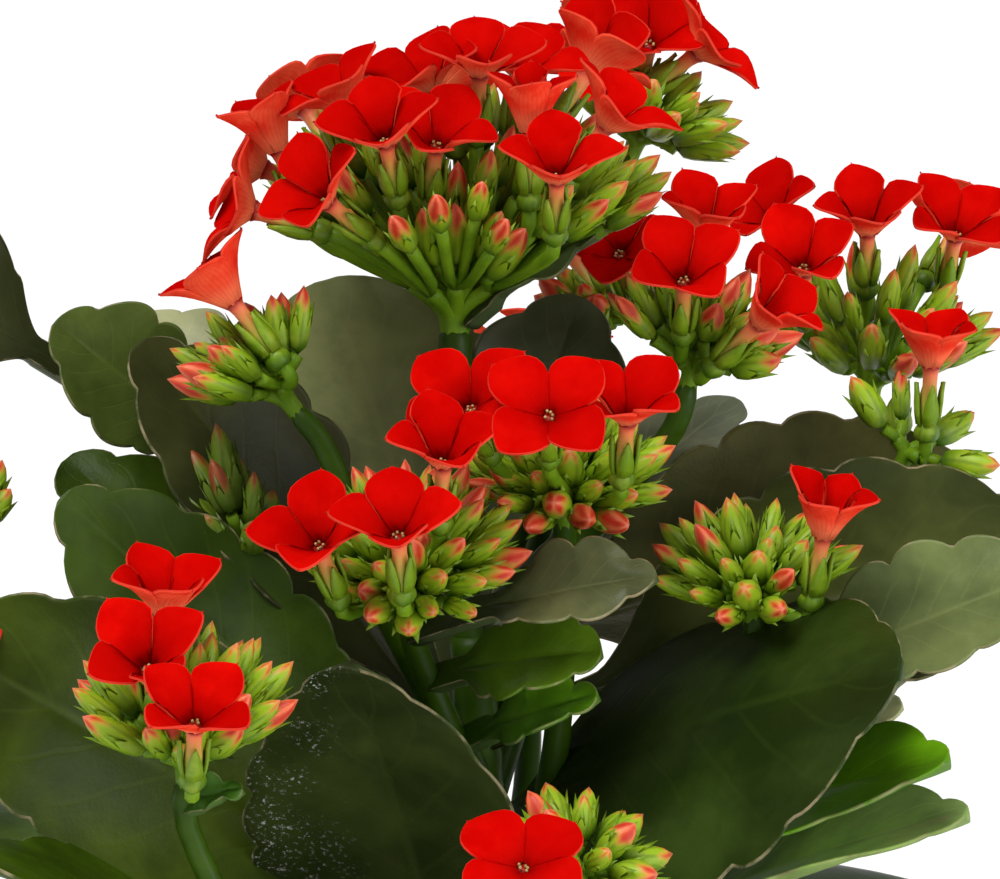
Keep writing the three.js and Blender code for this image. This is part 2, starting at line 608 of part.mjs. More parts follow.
const plans = Object.fromEntries(Object.entries(HEADS).map(([name, head]) => [name, headPlan(head)]));
for (const [name, plan] of Object.entries(plans)) {
  const flowers = plan.flowers.map((place) => ({
    body: flowerBody(place, 0),
    grown: flowerBody(place, GAP),
  }));
  if (!plan.head.oneBody) {
    const clusters = piecesBySize(fuse(flowers.map(({ body }) => body)));
    for (const [index, cluster] of clusters.entries()) {
      const own = flowers.filter(({ body }) => cluster.intersect(body).volume() > body.volume() / 2);
      settle(`flowers_${name}_${index + 1}`, RED, cluster, fuse(own.map(({ grown }) => grown)));
    }
  }
}
for (const [name, plan] of Object.entries(plans)) {
  settle(`head_${name}`, BUD_GREEN, headBody(name, plan, 0), headBody(name, plan, GAP));
}
settle('leafy_stems', LEAF_GREEN, plantBody(), wasm.Manifold.union([]));

const katy = new THREE.Group();
function place(name, look, body) {
  const mesh = new THREE.Mesh(geometryOf(body), new THREE.MeshStandardMaterial(look));
  mesh.name = name;
  katy.add(mesh);
}
place('pot', CLAY, potBody());
place('soil', PEAT, soilBody());
for (const { name, look, body } of bodies) {
  place(name, look, body);
}

export default katy;
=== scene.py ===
import math
from math import cos, pi, radians, sin, sqrt

import bpy
import numpy as np
from mathutils import Matrix, Vector, noise


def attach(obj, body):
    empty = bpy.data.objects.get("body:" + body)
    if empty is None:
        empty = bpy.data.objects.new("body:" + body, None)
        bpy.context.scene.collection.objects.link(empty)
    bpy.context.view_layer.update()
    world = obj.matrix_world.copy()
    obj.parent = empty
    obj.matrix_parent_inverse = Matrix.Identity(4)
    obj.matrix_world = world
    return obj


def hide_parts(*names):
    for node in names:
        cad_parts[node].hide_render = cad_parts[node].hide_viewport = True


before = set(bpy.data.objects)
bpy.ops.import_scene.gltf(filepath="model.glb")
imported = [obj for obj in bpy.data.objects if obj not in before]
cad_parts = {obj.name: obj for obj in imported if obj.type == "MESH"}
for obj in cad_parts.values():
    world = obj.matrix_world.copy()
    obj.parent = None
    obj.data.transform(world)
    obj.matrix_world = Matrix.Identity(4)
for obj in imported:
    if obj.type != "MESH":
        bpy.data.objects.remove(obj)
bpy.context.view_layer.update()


# Clay pot. A plain thrown and fired terracotta pot with a thick rim and three drain holes in its
# floor. Its wall is drawn up from a disc, over the lip and down the inside, along profiles of
# radius and height in mm, and then the holes are bored.
MM = 0.001
SIDES = 96
POT_FOOT = [(40.6, 0), (41.6, 0.4), (42, 1.4)]
POT_SIDE = [
    (42 + 13 * share, 1.4 + 77.2 * share) for share in (0.12, 0.25, 0.4, 0.55, 0.7, 0.85, 1)
]
POT_RIM = [
    (55.4, 79), (58.6, 79), (59.4, 79.3), (59.7, 80.2), (60.3, 88), (60.9, 96.5), (60.9, 98),
    (60.4, 99.3), (59.4, 100), (57, 100), (56.2, 99.6), (55.8, 98.6),
]
POT_INSIDE = [
    (53.2, 89), (50.3, 77.6), (49.7, 76.4), (46, 57), (42, 34), (38.4, 12), (37.4, 9.4), (35, 8.2),
    (30, 8), (10, 8),
]
HOLE_COUNT, HOLE_OUT, HOLE_RADIUS = 3, 22, 5
BORE_HEIGHT, BORE_LENGTH = 4, 20
SMOOTH_BELOW = radians(40)


def added(operator, **settings):
    """A new mesh from one of Blender's own operators, the only one selected."""
    bpy.ops.object.select_all(action="DESELECT")
    operator(**settings)
    return bpy.context.object


def drawn_out(name, profile):
    """A round body: a disc at the profile's start, extruded and widened step by step along it."""
    radius, height = profile[0]
    body = added(
        bpy.ops.mesh.primitive_circle_add, vertices=SIDES, radius=radius * MM, fill_type="NGON",
        location=(0, 0, height * MM),
    )
    body.name = body.data.name = name
    bpy.ops.object.transform_apply()
    bpy.ops.object.mode_set(mode="EDIT")
    bpy.ops.mesh.select_all(action="SELECT")
    for wide, high in profile[1:]:
        step = (0, 0, (high - height) * MM)
        bpy.ops.mesh.extrude_region_move(TRANSFORM_OT_translate={"value": step})
        bpy.ops.transform.resize(value=(wide / radius, wide / radius, 1), center_override=(0, 0, 0))
        radius, height = wide, high
    bpy.ops.mesh.select_all(action="SELECT")
    bpy.ops.mesh.normals_make_consistent(inside=False)
    bpy.ops.object.mode_set(mode="OBJECT")
    return body


class Wire:
    """What comes out of a node. A sum written with it adds the nodes of that sum."""

    def __init__(self, finish, socket):
        self.finish = finish
        self.socket = socket

    def reckon(self, operation, *values):
        return self.finish.node("Math", {"operation": operation}, dict(enumerate(values)))

    def __add__(self, other):
        return self.reckon("ADD", self, other)

    __radd__ = __add__

    def __sub__(self, other):
        return self.reckon("SUBTRACT", self, other)

    def __rsub__(self, other):
        return self.reckon("SUBTRACT", other, self)

    def __mul__(self, other):
        return self.reckon("MULTIPLY", self, other)

    __rmul__ = __mul__

    def size(self):
        return self.reckon("ABSOLUTE", self)

    def sine(self):
        return self.reckon("SINE", self)

    def or_more(self, other):
        return self.reckon("MAXIMUM", self, other)

    def between(self, low, high):
        """0 below low, 1 above high and a smooth step from one to the other."""
        sockets = {"Value": self, "From Min": low, "From Max": high}
        return self.finish.node("MapRange", {"interpolation_type": "SMOOTHSTEP"}, sockets)


class Finish:
    """A material in the making: a surface whose sockets are set, or fed by nodes."""

    def __init__(self, name, sockets=()):
        self.material = bpy.data.materials.new(name)
        self.material.use_nodes = True
        self.tree = self.material.node_tree
        self.surface = self.tree.nodes["Principled BSDF"]
        self.feed(self.surface, dict(sockets))
        self.place = self.node("TexCoord", {}, {}, "Object")

    def feed(self, node, sockets):
        for key, value in sockets.items():
            if isinstance(value, Wire):
                self.tree.links.new(value.socket, node.inputs[key])
            else:
                node.inputs[key].default_value = value

    def fed(self, sockets):
        """The material, with these sockets of its surface set or fed."""
        self.feed(self.surface, sockets)
        return self.material

    def node(self, kind, settings, sockets, out=0):
        node = self.tree.nodes.new("ShaderNode" + kind)
        for key, value in settings.items():
            setattr(node, key, value)
        self.feed(node, sockets)
        return Wire(self, node.outputs[out])

    def specks(self, scale, detail=3, rough=0.5, warp=0):
        """Soft spots, with so many to a metre."""
        sockets = {"Scale": scale, "Detail": detail, "Roughness": rough, "Distortion": warp}
        return self.node("TexNoise", {}, {"Vector": self.place, **sockets})

    def height(self):
        return self.node("SeparateXYZ", {}, {"Vector": self.place}, "Z")

    def mark(self, name, out="Fac"):
        return self.node("Attribute", {"attribute_name": name}, {}, out)

    def mixed(self, share, first, second, kind="MIX"):
        """The first colour, and by that share the second."""
        # A Mix node takes colours in at sockets 6 and 7 and gives one out at 2
        colours = {6: first, 7: second}
        colours = {k: (*c, 1) if isinstance(c, tuple) else c for k, c in colours.items()}
        return self.node("Mix", {"data_type": "RGBA", "blend_type": kind}, {0: share, **colours}, 2)

    def dyed(self, colour, dye):
        return self.mixed(1.0, colour, dye, "MULTIPLY")

    def relief(self, height, depth, strength=1.0):
        """A bump of that depth in mm where the height goes from 0 to 1."""
        sockets = {"Height": height, "Distance": depth * MM, "Strength": strength}
        return self.node("Bump", {}, sockets)


def clay():
    skin = Finish("clay")
    height = skin.height()
    blotch = skin.specks(38, 5, 0.6, 0.4)
    fine = skin.specks(900, 3, 0.6)
    grain = skin.specks(260, 4, 0.7)
    turning = skin.node(
        "TexWave", {"bands_direction": "Z", "wave_profile": "SIN"},
        {"Vector": skin.place, "Scale": 60, "Distortion": 1.6, "Detail": 2, "Detail Scale": 0.6},
    )
    baked = skin.mixed(blotch.between(0.35, 0.68), (0.44, 0.17, 0.075), (0.56, 0.25, 0.125))
    speckled = skin.mixed(grain.between(0.6, 0.72) * 0.5, baked, (0.3, 0.105, 0.045))
    chalky = (1 - height.between(0, 0.03)) * 0.7 + height.between(0.09, 0.1) * 0.35
    bloom = chalky * skin.specks(70, 6, 0.65, 0.8).between(0.46, 0.66)
    colour = skin.mixed(bloom * 0.55, speckled, (0.68, 0.55, 0.45))
    band = height.between(0.028, 0.05) * (1 - height.between(0.05, 0.078))
    damp = band * blotch.between(0.5, 0.62)
    return skin.fed({
        "Base Color": skin.mixed(damp * 0.35, colour, (0.25, 0.09, 0.04)),
        "Roughness": 0.93 - 0.16 * grain,
        "Normal": skin.relief(turning * 0.35 + grain * 0.5 + fine * 0.3, 0.35, 0.6),
    })


pot = drawn_out("clay_pot", POT_FOOT + POT_SIDE + POT_RIM + POT_INSIDE)
for step in range(HOLE_COUNT):
    turn = 2 * pi * step / HOLE_COUNT
    place = (HOLE_OUT * MM * cos(turn), HOLE_OUT * MM * sin(turn), BORE_HEIGHT * MM)
    bore = added(
        bpy.ops.mesh.primitive_cylinder_add, vertices=32, radius=HOLE_RADIUS * MM,
        depth=BORE_LENGTH * MM, location=place,
    )
    bpy.context.view_layer.objects.active = pot
    cut = pot.modifiers.new("bore", "BOOLEAN")
    cut.object = bore
    cut.operation = "DIFFERENCE"
    bpy.ops.object.modifier_apply(modifier="bore")
    bpy.data.objects.remove(bore)
pot.data.shade_smooth()
bpy.ops.object.select_all(action="DESELECT")
pot.select_set(True)
bpy.ops.object.shade_smooth_by_angle(angle=SMOOTH_BELOW)
pot.data.materials.append(clay())
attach(pot, "root")
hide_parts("pot")


# Soil. Peat, pressed in to a finger's width below the rim and mounded to the stem, with loose
# crumbs and pale grains of pumice on it. Its top is uneven, and the crumbs are one lump copied.
SOIL_EDGE, SOIL_LEVEL = 52.4, 90
MOUND_RUN, MOUND_RISE, MOUND_POWER = 46.8, 4, 1.6
SOIL_SIDE = [(36.4, 8.3), (40.5, 30), (45, 54), (49.4, 77), (SOIL_EDGE, SOIL_LEVEL)]
SOIL_TOP = [
    (SOIL_EDGE - MOUND_RUN * share, SOIL_LEVEL + MOUND_RISE * share ** MOUND_POWER)
    for share in np.linspace(0.06, 1, 16)
]
SOIL_HOLE = [(5.3, 92), (5.3, 58)]

# The swells of the soil's top in metres: their height and number, where they begin, and the wall
# towards which they fade
SWELL, SWELLS, TOP_FROM, HOLE_CLEAR, WALL, FADE = 0.0011, 160, 0.0895, 0.006, 0.0535, 400

CRUMBS, GRAINS = 460, 46
CRUMBS_FROM, CRUMBS_RUN = 7, 43.5
FULL_TURN = 6.28


class Shape:
    """A form in mm: points, faces, the number of its finish and the marks on its points."""

    def __init__(self, points, faces, finish=0, **marks):
        self.points = np.asarray(points, dtype=float).reshape(-1, 3)
        self.faces = faces
        self.finish = finish
        self.marks = marks

    def placed(self, matrix, **marks):
        turned = self.points @ np.array(matrix.to_3x3()).T + np.array(matrix.translation)
        return Shape(turned, self.faces, self.finish, **{**self.marks, **marks})

    def marked(self, name, wide):
        value = np.asarray(self.marks.get(name, 0), dtype=float)
        return np.broadcast_to(value, (len(self.points), *wide))


def shape_of(thing, **marks):
    """The form of an object modelled in mm, which is then deleted."""
    points = np.array([corner.co for corner in thing.data.vertices])
    faces = [tuple(face.vertices) for face in thing.data.polygons]
    bpy.data.objects.remove(thing)
    return Shape(points, faces, **marks)


def made(name, shapes, finishes):
    """One object of many forms, with its faces outwards."""
    mesh = bpy.data.meshes.new(name)
    faces = []
    finish_of = []
    start = 0
    for shape in shapes:
        faces.extend([start + corner for corner in face] for face in shape.faces)
        finish_of.extend([shape.finish] * len(shape.faces))
        start += len(shape.points)
    mesh.from_pydata(np.concatenate([shape.points for shape in shapes]) * MM, [], faces)
    mesh.polygons.foreach_set("material_index", finish_of)
    for mark in sorted({mark for shape in shapes for mark in shape.marks}):
        kind, key, wide = "FLOAT", "value", ()
        if mark == "tint":
            kind, key, wide = "FLOAT_COLOR", "color", (4,)
        values = np.concatenate([shape.marked(mark, wide) for shape in shapes])
        mesh.attributes.new(mark, kind, "POINT").data.foreach_set(key, values.ravel())
    for finish in finishes:
        mesh.materials.append(finish)
    thing = bpy.data.objects.new(name, mesh)
    bpy.context.collection.objects.link(thing)
    bpy.ops.object.select_all(action="DESELECT")
    bpy.context.view_layer.objects.active = thing
    thing.select_set(True)
    bpy.ops.object.mode_set(mode="EDIT")
    bpy.ops.mesh.select_all(action="SELECT")
    bpy.ops.mesh.normals_make_consistent(inside=False)
    bpy.ops.object.mode_set(mode="OBJECT")
    mesh.shade_smooth()
    return thing


def draw(index, salt):
    """An even spread of numbers from 0 to 1 that is the same each time."""
    value = sin(index * 12.9898 + salt * 78.233) * 43758.5453
    return value - math.floor(value)


def soil_height(radius):
    return SOIL_LEVEL + MOUND_RISE * max(0, (SOIL_EDGE - radius) / MOUND_RUN) ** MOUND_POWER


def peat():
    skin = Finish("peat", {"Specular IOR Level": 0.2})
    lumps = skin.specks(420, 5, 0.7)
    fibre = skin.specks(1500, 3, 0.6, 1.2)
    dark = skin.mixed(lumps.between(0.35, 0.7), (0.012, 0.0075, 0.005), (0.06, 0.036, 0.022))
    return skin.fed({
        "Base Color": skin.mixed(fibre.between(0.62, 0.7) * 0.6, dark, (0.17, 0.1, 0.055)),
        "Roughness": 0.8 + 0.2 * lumps,
        "Normal": skin.relief(lumps * 0.7 + fibre * 0.3, 1.1),
    })


def grainy(name, roughness, grain, band, dark, pale, depth):
    """A dull stuff of fine grains, from dark to pale as they stand out."""
    skin = Finish(name, {"Roughness": roughness})
    grains = skin.specks(*grain)
    return skin.fed({
        "Base Color": skin.mixed(grains.between(*band), dark, pale),
        "Normal": skin.relief(grains, depth),
    })


soil = drawn_out("peat_soil", SOIL_SIDE + SOIL_TOP + SOIL_HOLE)
for corner in soil.data.vertices:
    far = math.hypot(corner.co.x, corner.co.y)
    if corner.co.z > TOP_FROM and far > HOLE_CLEAR:
        corner.co.z += SWELL * noise.noise(corner.co * SWELLS) * min(1, (WALL - far) * FADE)
soil_shapes = [shape_of(soil)]
soil_shapes[0].points /= MM
crumb = shape_of(added(bpy.ops.mesh.primitive_ico_sphere_add, subdivisions=1))
rugged = np.array([[0.8 + 0.4 * draw(k, 1)] for k in range(len(crumb.points))])
crumb.points *= rugged * (1, 0.8, 0.65)
for k in range(CRUMBS + GRAINS):
    far = CRUMBS_FROM + CRUMBS_RUN * sqrt(draw(k, 21))
    turn = 2 * pi * draw(k, 22)
    size = (0.55 + 1.5 * draw(k, 23) ** 3) if k < CRUMBS else 0.7 + 0.8 * draw(k, 24)
    spot = (far * cos(turn), far * sin(turn), soil_height(far) + 0.25 * size)
    lying = Matrix.Translation(spot) @ Matrix.Rotation(FULL_TURN * draw(k, 25), 4, "Z")
    lying = lying @ Matrix.Rotation(1.2 * draw(k, 26), 4, "X") @ Matrix.Scale(size, 4)
    lump = crumb.placed(lying)
    lump.finish = int(k >= CRUMBS)
    soil_shapes.append(lump)
pumice = grainy(
    "pumice", 0.9, (1300, 4, 0.7), (0.35, 0.6), (0.3, 0.26, 0.2), (0.62, 0.58, 0.5), 0.4,
)
soil = made("peat_soil", soil_shapes, [peat(), pumice])
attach(soil, "root")
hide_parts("soil")


# Stems. One fleshy main stem, woody at its foot, and the round green stalks that grow from it, each
# with a head on its end. They are tubes along smooth curves, a little thicker at every joint.
STEM = [(0, 0, 58.4), (0, 0, 100), (1, 1, 136), (-1, 1, 178)]
STEM_RADIUS = (4.6, 2.6)
STALK_ROOT = 2

# The shoot at the left, which carries leaves and no head
SHOOT = [(-1, 1, 150), (-12, 6, 174), (-31, 8, 198)]
SHOOT_RADIUS = 1.6

# Each head's stalk: where it leaves a stem, a point that it bends through, where it divides, the
# way the head faces, and the stalk's radius where it divides
STALKS = {
    "crown": ((-1, 1, 174), (-3, 1, 192), (-3, 0, 216), (0, 0, 1), 2),
    "crown_back": ((0, 4, 152), (9, 34, 205), (19, 32, 234), (0.45, 0.1, 1), 1.4),
    "left_small": ((-1, -1, 162), (-12, -15, 186), (-22, -15, 208), (-0.78, 0, 1), 1.3),
    "right_mid": ((1, 2, 158), (12, 5, 188), (25, -5, 210), (0.3, -0.1, 1), 1.4),
    "right_back": ((0, 2, 158), (8, 22, 188), (15, 28, 211), (0, 0.1, 1), 1.3),
    "right_high": ((1, 2, 138), (34, 24, 174), (48, 20, 205), (0.1, -0.1, 1), 1.5),
    "right_tip": ((33, 23, 173), (46, 16, 184), (51, 3, 199), (0.5, -0.1, 1), 1.2),
    "front_left": ((1, -2, 122), (1, -24, 158), (-8, -34, 189), (0, -0.7, 1), 1.4),
    "front_mid": ((1, -2, 126), (9, -18, 168), (10, -22, 197), (0, -0.5, 1), 1.4),
    "front_right": ((1, -1, 142), (16, -9, 162), (32, -22, 185), (0, -0.35, 1), 1.4),
    "low_left": ((-1, -2, 106), (-17, -46, 134), (-33, -55, 172), (0, -0.2, 1), 1.3),
    "low_front": ((1, -2, 102), (7, -44, 134), (11, -56, 160), (0.5, -0.4, 1), 1.3),
    "behind_left": ((-1, -1, 152), (-13, -7, 168), (-27, -9, 187), (-0.35, 0, 1), 1.2),
    "edge_left": ((-1, 0, 122), (-44, -4, 156), (-61, -8, 190), (-0.2, -0.1, 1), 1.3),
    "edge_low": ((-1, -1, 120), (-48, -20, 148), (-68, -20, 172), (-0.3, -0.3, 1), 1.2),
    "rear_left": ((-1, 2, 138), (-18, 30, 164), (-30, 46, 186), (-0.2, 0.3, 1), 1.4),
    "rear_mid": ((0, 2, 118), (6, 40, 156), (5, 56, 188), (0, 0.4, 1), 1.4),
    "rear_right": ((1, 2, 124), (26, 34, 144), (40, 50, 170), (0.3, 0.3, 1), 1.4),
    "rear_low": ((-1, 1, 132), (-44, 16, 149), (-66, 26, 158), (-0.5, 0.1, 1), 1.3),
}

# How far each stalk runs straight before it divides
STRAIGHT = 6


def smooth_path(points, count):
    """So many points at equal steps along a smooth curve through the given ones."""
    points = [np.array(point, dtype=float) for point in points]
    run = [2 * points[0] - points[1], *points, 2 * points[-1] - points[-2]]
    fine = []
    for a, b, c, d in zip(run, run[1:], run[2:], run[3:]):
        first, second, third = (sqrt(np.linalg.norm(step)) for step in (b - a, c - b, d - c))
        leave = ((b - a) / first - (c - a) / (first + second) + (c - b) / second) * second
        reach = ((c - b) / second - (d - b) / (second + third) + (d - c) / third) * second
        square = 3 * (c - b) - 2 * leave - reach
        cube = 2 * (b - c) + leave + reach
        fine.extend(b + leave * t + square * t ** 2 + cube * t ** 3 for t in np.linspace(0, 1, 41))
    fine = np.array(fine)
    gone = np.concatenate([[0], np.cumsum(np.linalg.norm(np.diff(fine, axis=0), axis=1))])
    even = np.linspace(0, gone[-1], count)
    return np.stack([np.interp(even, gone, axis) for axis in fine.T], axis=1)


def ring_faces(count, ring):
    """The faces of a closed skin over so many points in rings, its two ends first."""
    faces = [tuple(range(ring))[::-1], tuple(range(count - ring, count))]
    for start in range(0, count - ring, ring):
        for k in range(ring):
            n = (k + 1) % ring
            faces.append((start + k, start + n, start + ring + n, start + ring + k))
    return faces


def tube(path, radii, sides, finish=0, **marks):
    """A closed tube along a path, with a radius at each of its points."""
    path = np.asarray(path, dtype=float)
    ahead = np.gradient(path, axis=0)
    side = np.cross(ahead[0], (0.3, -1, 0.1))
    points = []
    turns = 2 * pi * np.arange(sides) / sides
    for place, way, radius in zip(path, ahead, radii):
        way = way / np.linalg.norm(way)
        side = side - way * np.dot(side, way)
        side = side / np.linalg.norm(side)
        across = np.cross(way, side)
        for turn in turns:
            points.append(place + radius * (cos(turn) * side + sin(turn) * across))
    share = np.repeat(np.linspace(0, 1, len(path)), sides)
    return Shape(points, ring_faces(len(points), sides), finish, along=share, **marks)


def joints(count, radii, gap, swell):
    """The radii of a stem whose joints, one at each gap, stand out by a share."""
    steps = np.linspace(0, 1, count)
    base = np.interp(steps, [0, 1], radii)
    return base * (1 + swell * np.exp(-((np.mod(steps / gap + 0.5, 1) - 0.5) / 0.09) ** 2))


def stem_skin(deep, pale):
    skin = Finish("stem_skin", {"Specular IOR Level": 0.16})
    mottle = skin.specks(120, 4, 0.6)
    streak = skin.specks(600, 3, 0.6)
    green = skin.mixed(mottle.between(0.35, 0.7), deep, pale)
    cork = skin.mixed(streak.between(0.4, 0.65), (0.11, 0.075, 0.04), (0.2, 0.15, 0.09))
    woody = (1 - (skin.height() + 0.03 * mottle).between(0.118, 0.15)) * skin.mark("woody")
    return skin.fed({
        "Base Color": skin.mixed(woody, green, cork),
        "Roughness": 0.36 + 0.3 * woody + 0.12 * streak,
        "Normal": skin.relief(streak * (0.25 + woody), 0.5, 0.5),
    })


stem_radii = joints(80, STEM_RADIUS, gap=0.11, swell=0.07)
stem_shapes = [tube(smooth_path(STEM, 80), stem_radii, sides=18, woody=1)]
for root, bend, base, lean, thick in STALKS.values():
    before = Vector(base) - STRAIGHT * Vector(lean).normalized()
    path = smooth_path([root, bend, before, base], 30)
    radii = joints(30, (STALK_ROOT, thick), gap=0.5, swell=0.1)
    radii[-2:] *= 0.96, 0.6
    stem_shapes.append(tube(path, radii, sides=12, woody=0))
shoot_radii = joints(24, (STALK_ROOT, SHOOT_RADIUS), gap=0.34, swell=0.1)
stem_shapes.append(tube(smooth_path(SHOOT, 24), shoot_radii, sides=12, woody=0))
stems = made("stems", stem_shapes, [stem_skin((0.018, 0.046, 0.001), (0.036, 0.082, 0.002))])
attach(stems, "root")
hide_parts("leafy_stems")


# Leaves. Thick glossy succulent leaves on short flat petioles, scalloped round their edges, with a
# sunk midrib and a thin pale rim of painted highlight. Each has its own place, size, bend and green.
PETIOLE_HALF, PETIOLE_THICK = 1.7, 2.6
BLADE_THICK, BLADE_EDGE = 1.4, 0.3
EDGE_THIN, SKIN_THICK, ROUNDED = 0.62, 0.12, 0.25
NOTCH, LOBE_LENGTH = 1.7, 9
WAVE, GROOVE, QUILT = 1.1, 0.4, 0.3
GOLDEN = radians(137.508)
UP = Vector((0, 0, 1))

# How far across a leaf its points lie, on one face and in a whole ring, and which are underneath
COLUMNS = np.array([
    -1, -0.965, -0.86, -0.66, -0.42, -0.2, -0.07, 0, 0.07, 0.2, 0.42, 0.66, 0.86, 0.965, 1,
])
ACROSS = np.concatenate([COLUMNS, [1], COLUMNS[::-1], [-1]])
UNDER = np.repeat([0, 0.5, 1, 0.5], [len(COLUMNS), 1, len(COLUMNS), 1])

# Root on a stem, tip, width, the way the upper face looks, how far the midrib arches and the edges
# lift, the least number of lobes on each side, the petiole's share of the length, and the green. The
# greens are partly painted light: leaves 4 to 6 are made brighter to stand for light that the lamps
# don't give them, and the pale grey greens of leaves 6, 9, 16 and 21 are partly painted sheen.
LEAVES = [
    ((2, -13, 158), (48, -45, 182), 42, (0.02, -0.66, 0.75), 4, -5, 4, 0.06, (0.016, 0.03, 0.004)),
    ((16, -9, 163), (67, -29, 191), 17, (-0.1, -0.75, 0.6), 3, 3, 3, 0.46, (0.095, 0.122, 0.045)),
    ((-1, 2, 174), (60, 10, 196), 30, (0, -0.9, 0.43), 2, 4, 4, 0.2, (0.055, 0.057, 0.018)),
    ((1, -1, 166), (68, -6, 192), 30, (0, -0.88, 0.47), 5, 4, 4, 0.2, (0.034, 0.042, 0.01)),
    ((1, -1, 139), (54, -36, 170), 25, (0.1, -0.4, 0.9), 4, 2, 4, 0.25, (0.13, 0.33, 0.005)),
    ((1, 0, 130), (57, -27, 162), 24, (0.1, -0.3, 0.95), 4, 2, 4, 0.25, (0.28, 0.42, 0.12)),
    ((0, 1, 142), (51, 2, 170), 20, (0, -0.3, 0.95), 3, 3, 3, 0.3, (0.35, 0.38, 0.2)),
    ((-31, 8, 198), (-80, 2, 229), 23, (0.1, -0.7, 0.7), 0, 3, 3, 0.45, (0.044, 0.05, 0.016)),
    ((-30, 7, 197), (-51, 2, 216), 17, (0.3, -0.85, 0.4), 1, 2, 3, 0.2, (0.056, 0.08, 0.016)),
    ((-31, 10, 197), (-44, 25, 214), 18, (0, -0.6, 0.8), 2, 2, 2, 0.2, (0.25, 0.26, 0.15)),
    ((0, 1, 158), (-41, -3, 214), 25, (0.62, -0.7, 0.3), 3, 3, 4, 0.25, (0.028, 0.032, 0.01)),
    ((0, -1, 144), (-49, -19, 198), 23, (-0.1, -0.8, 0.6), 4, 2, 4, 0.3, (0.03, 0.055, 0.005)),
    ((0, 2, 146), (-51, 20, 197), 24, (-0.1, -0.7, 0.7), 4, 2, 3, 0.3, (0.052, 0.096, 0.005)),
    ((0, -1, 137), (-64, -34, 184), 32, (-0.15, -0.85, 0.5), 5, 3, 4, 0.2, (0.034, 0.054, 0.005)),
    ((0, -2, 114), (-56, -58, 163), 30, (-0.15, -0.4, 0.9), 6, 2, 4, 0.25, (0.024, 0.048, 0.002)),
    ((0, -2, 113), (-15, -46, 182), 38, (-0.35, -0.9, 0.2), -3, 3, 4, 0.12, (0.029, 0.042, 0.01)),
    ((-1, 2, 167), (-19, 21, 219), 36, (0.1, -0.85, 0.5), 4, 4, 4, 0.2, (0.12, 0.137, 0.06)),
    ((-1, 1, 181), (12, 12, 218), 20, (0, -0.85, 0.5), 2, 2, 3, 0.25, (0.06, 0.07, 0.035)),
    ((-8, -31, 184), (20, -46, 193), 11, (0.05, -0.75, 0.65), 1.5, 1.5, 3, 0.32, (0.08, 0.092, 0.04)),
    ((-6, -29, 178), (14, -39, 183), 13, (0.05, -0.75, 0.65), 1.5, 1.5, 3, 0.2, (0.055, 0.112, 0.006)),
    ((-3, -27, 170), (13.5, -36, 177.5), 9, (0.1, -0.7, 0.7), 1, 1, 2, 0.25, (0.062, 0.165, 0.006)),
    ((-1, 2, 178), (32, 30, 203), 16, (0, -0.5, 0.85), 2, 2, 2, 0.3, (0.22, 0.26, 0.18)),
    ((0, 1, 128), (-32, 70, 152), 38, (-0.1, 0.3, 0.95), 8, -3, 3, 0.2, (0.04, 0.075, 0.014)),
    ((1, 1, 128), (60, 52, 136), 34, (0.3, 0.1, 0.95), 8, -3, 3, 0.2, (0.034, 0.07, 0.012)),
    ((0, 1, 134), (-76, 30, 152), 34, (-0.3, 0.1, 0.95), 8, -3, 3, 0.2, (0.045, 0.08, 0.015)),
    ((0, 2, 150), (-8, 62, 188), 32, (0, -0.3, 0.95), 6, 3, 3, 0.2, (0.038, 0.065, 0.014)),
]
SPECKLED_LEAF = 15

# The lowest leaves, in a spiral round the stem: their number, the first one's height, the step up,
# and how far the first reaches and where it points
LOWER_COUNT, LOWER_FIRST, LOWER_STEP, LOWER_REACH, LOWER_TURN = 7, 101, 2.2, 84, 0.6

# The small round leaf just under the lower left head
STALK_LEAF = (
    (-33, -54.6, 168.6), (-26.6, -57, 170.6), 4.4, (0.1, -0.75, 0.65), 0.3, 0.4, 1, 0.15,
    (0.06, 0.15, 0.015),
)


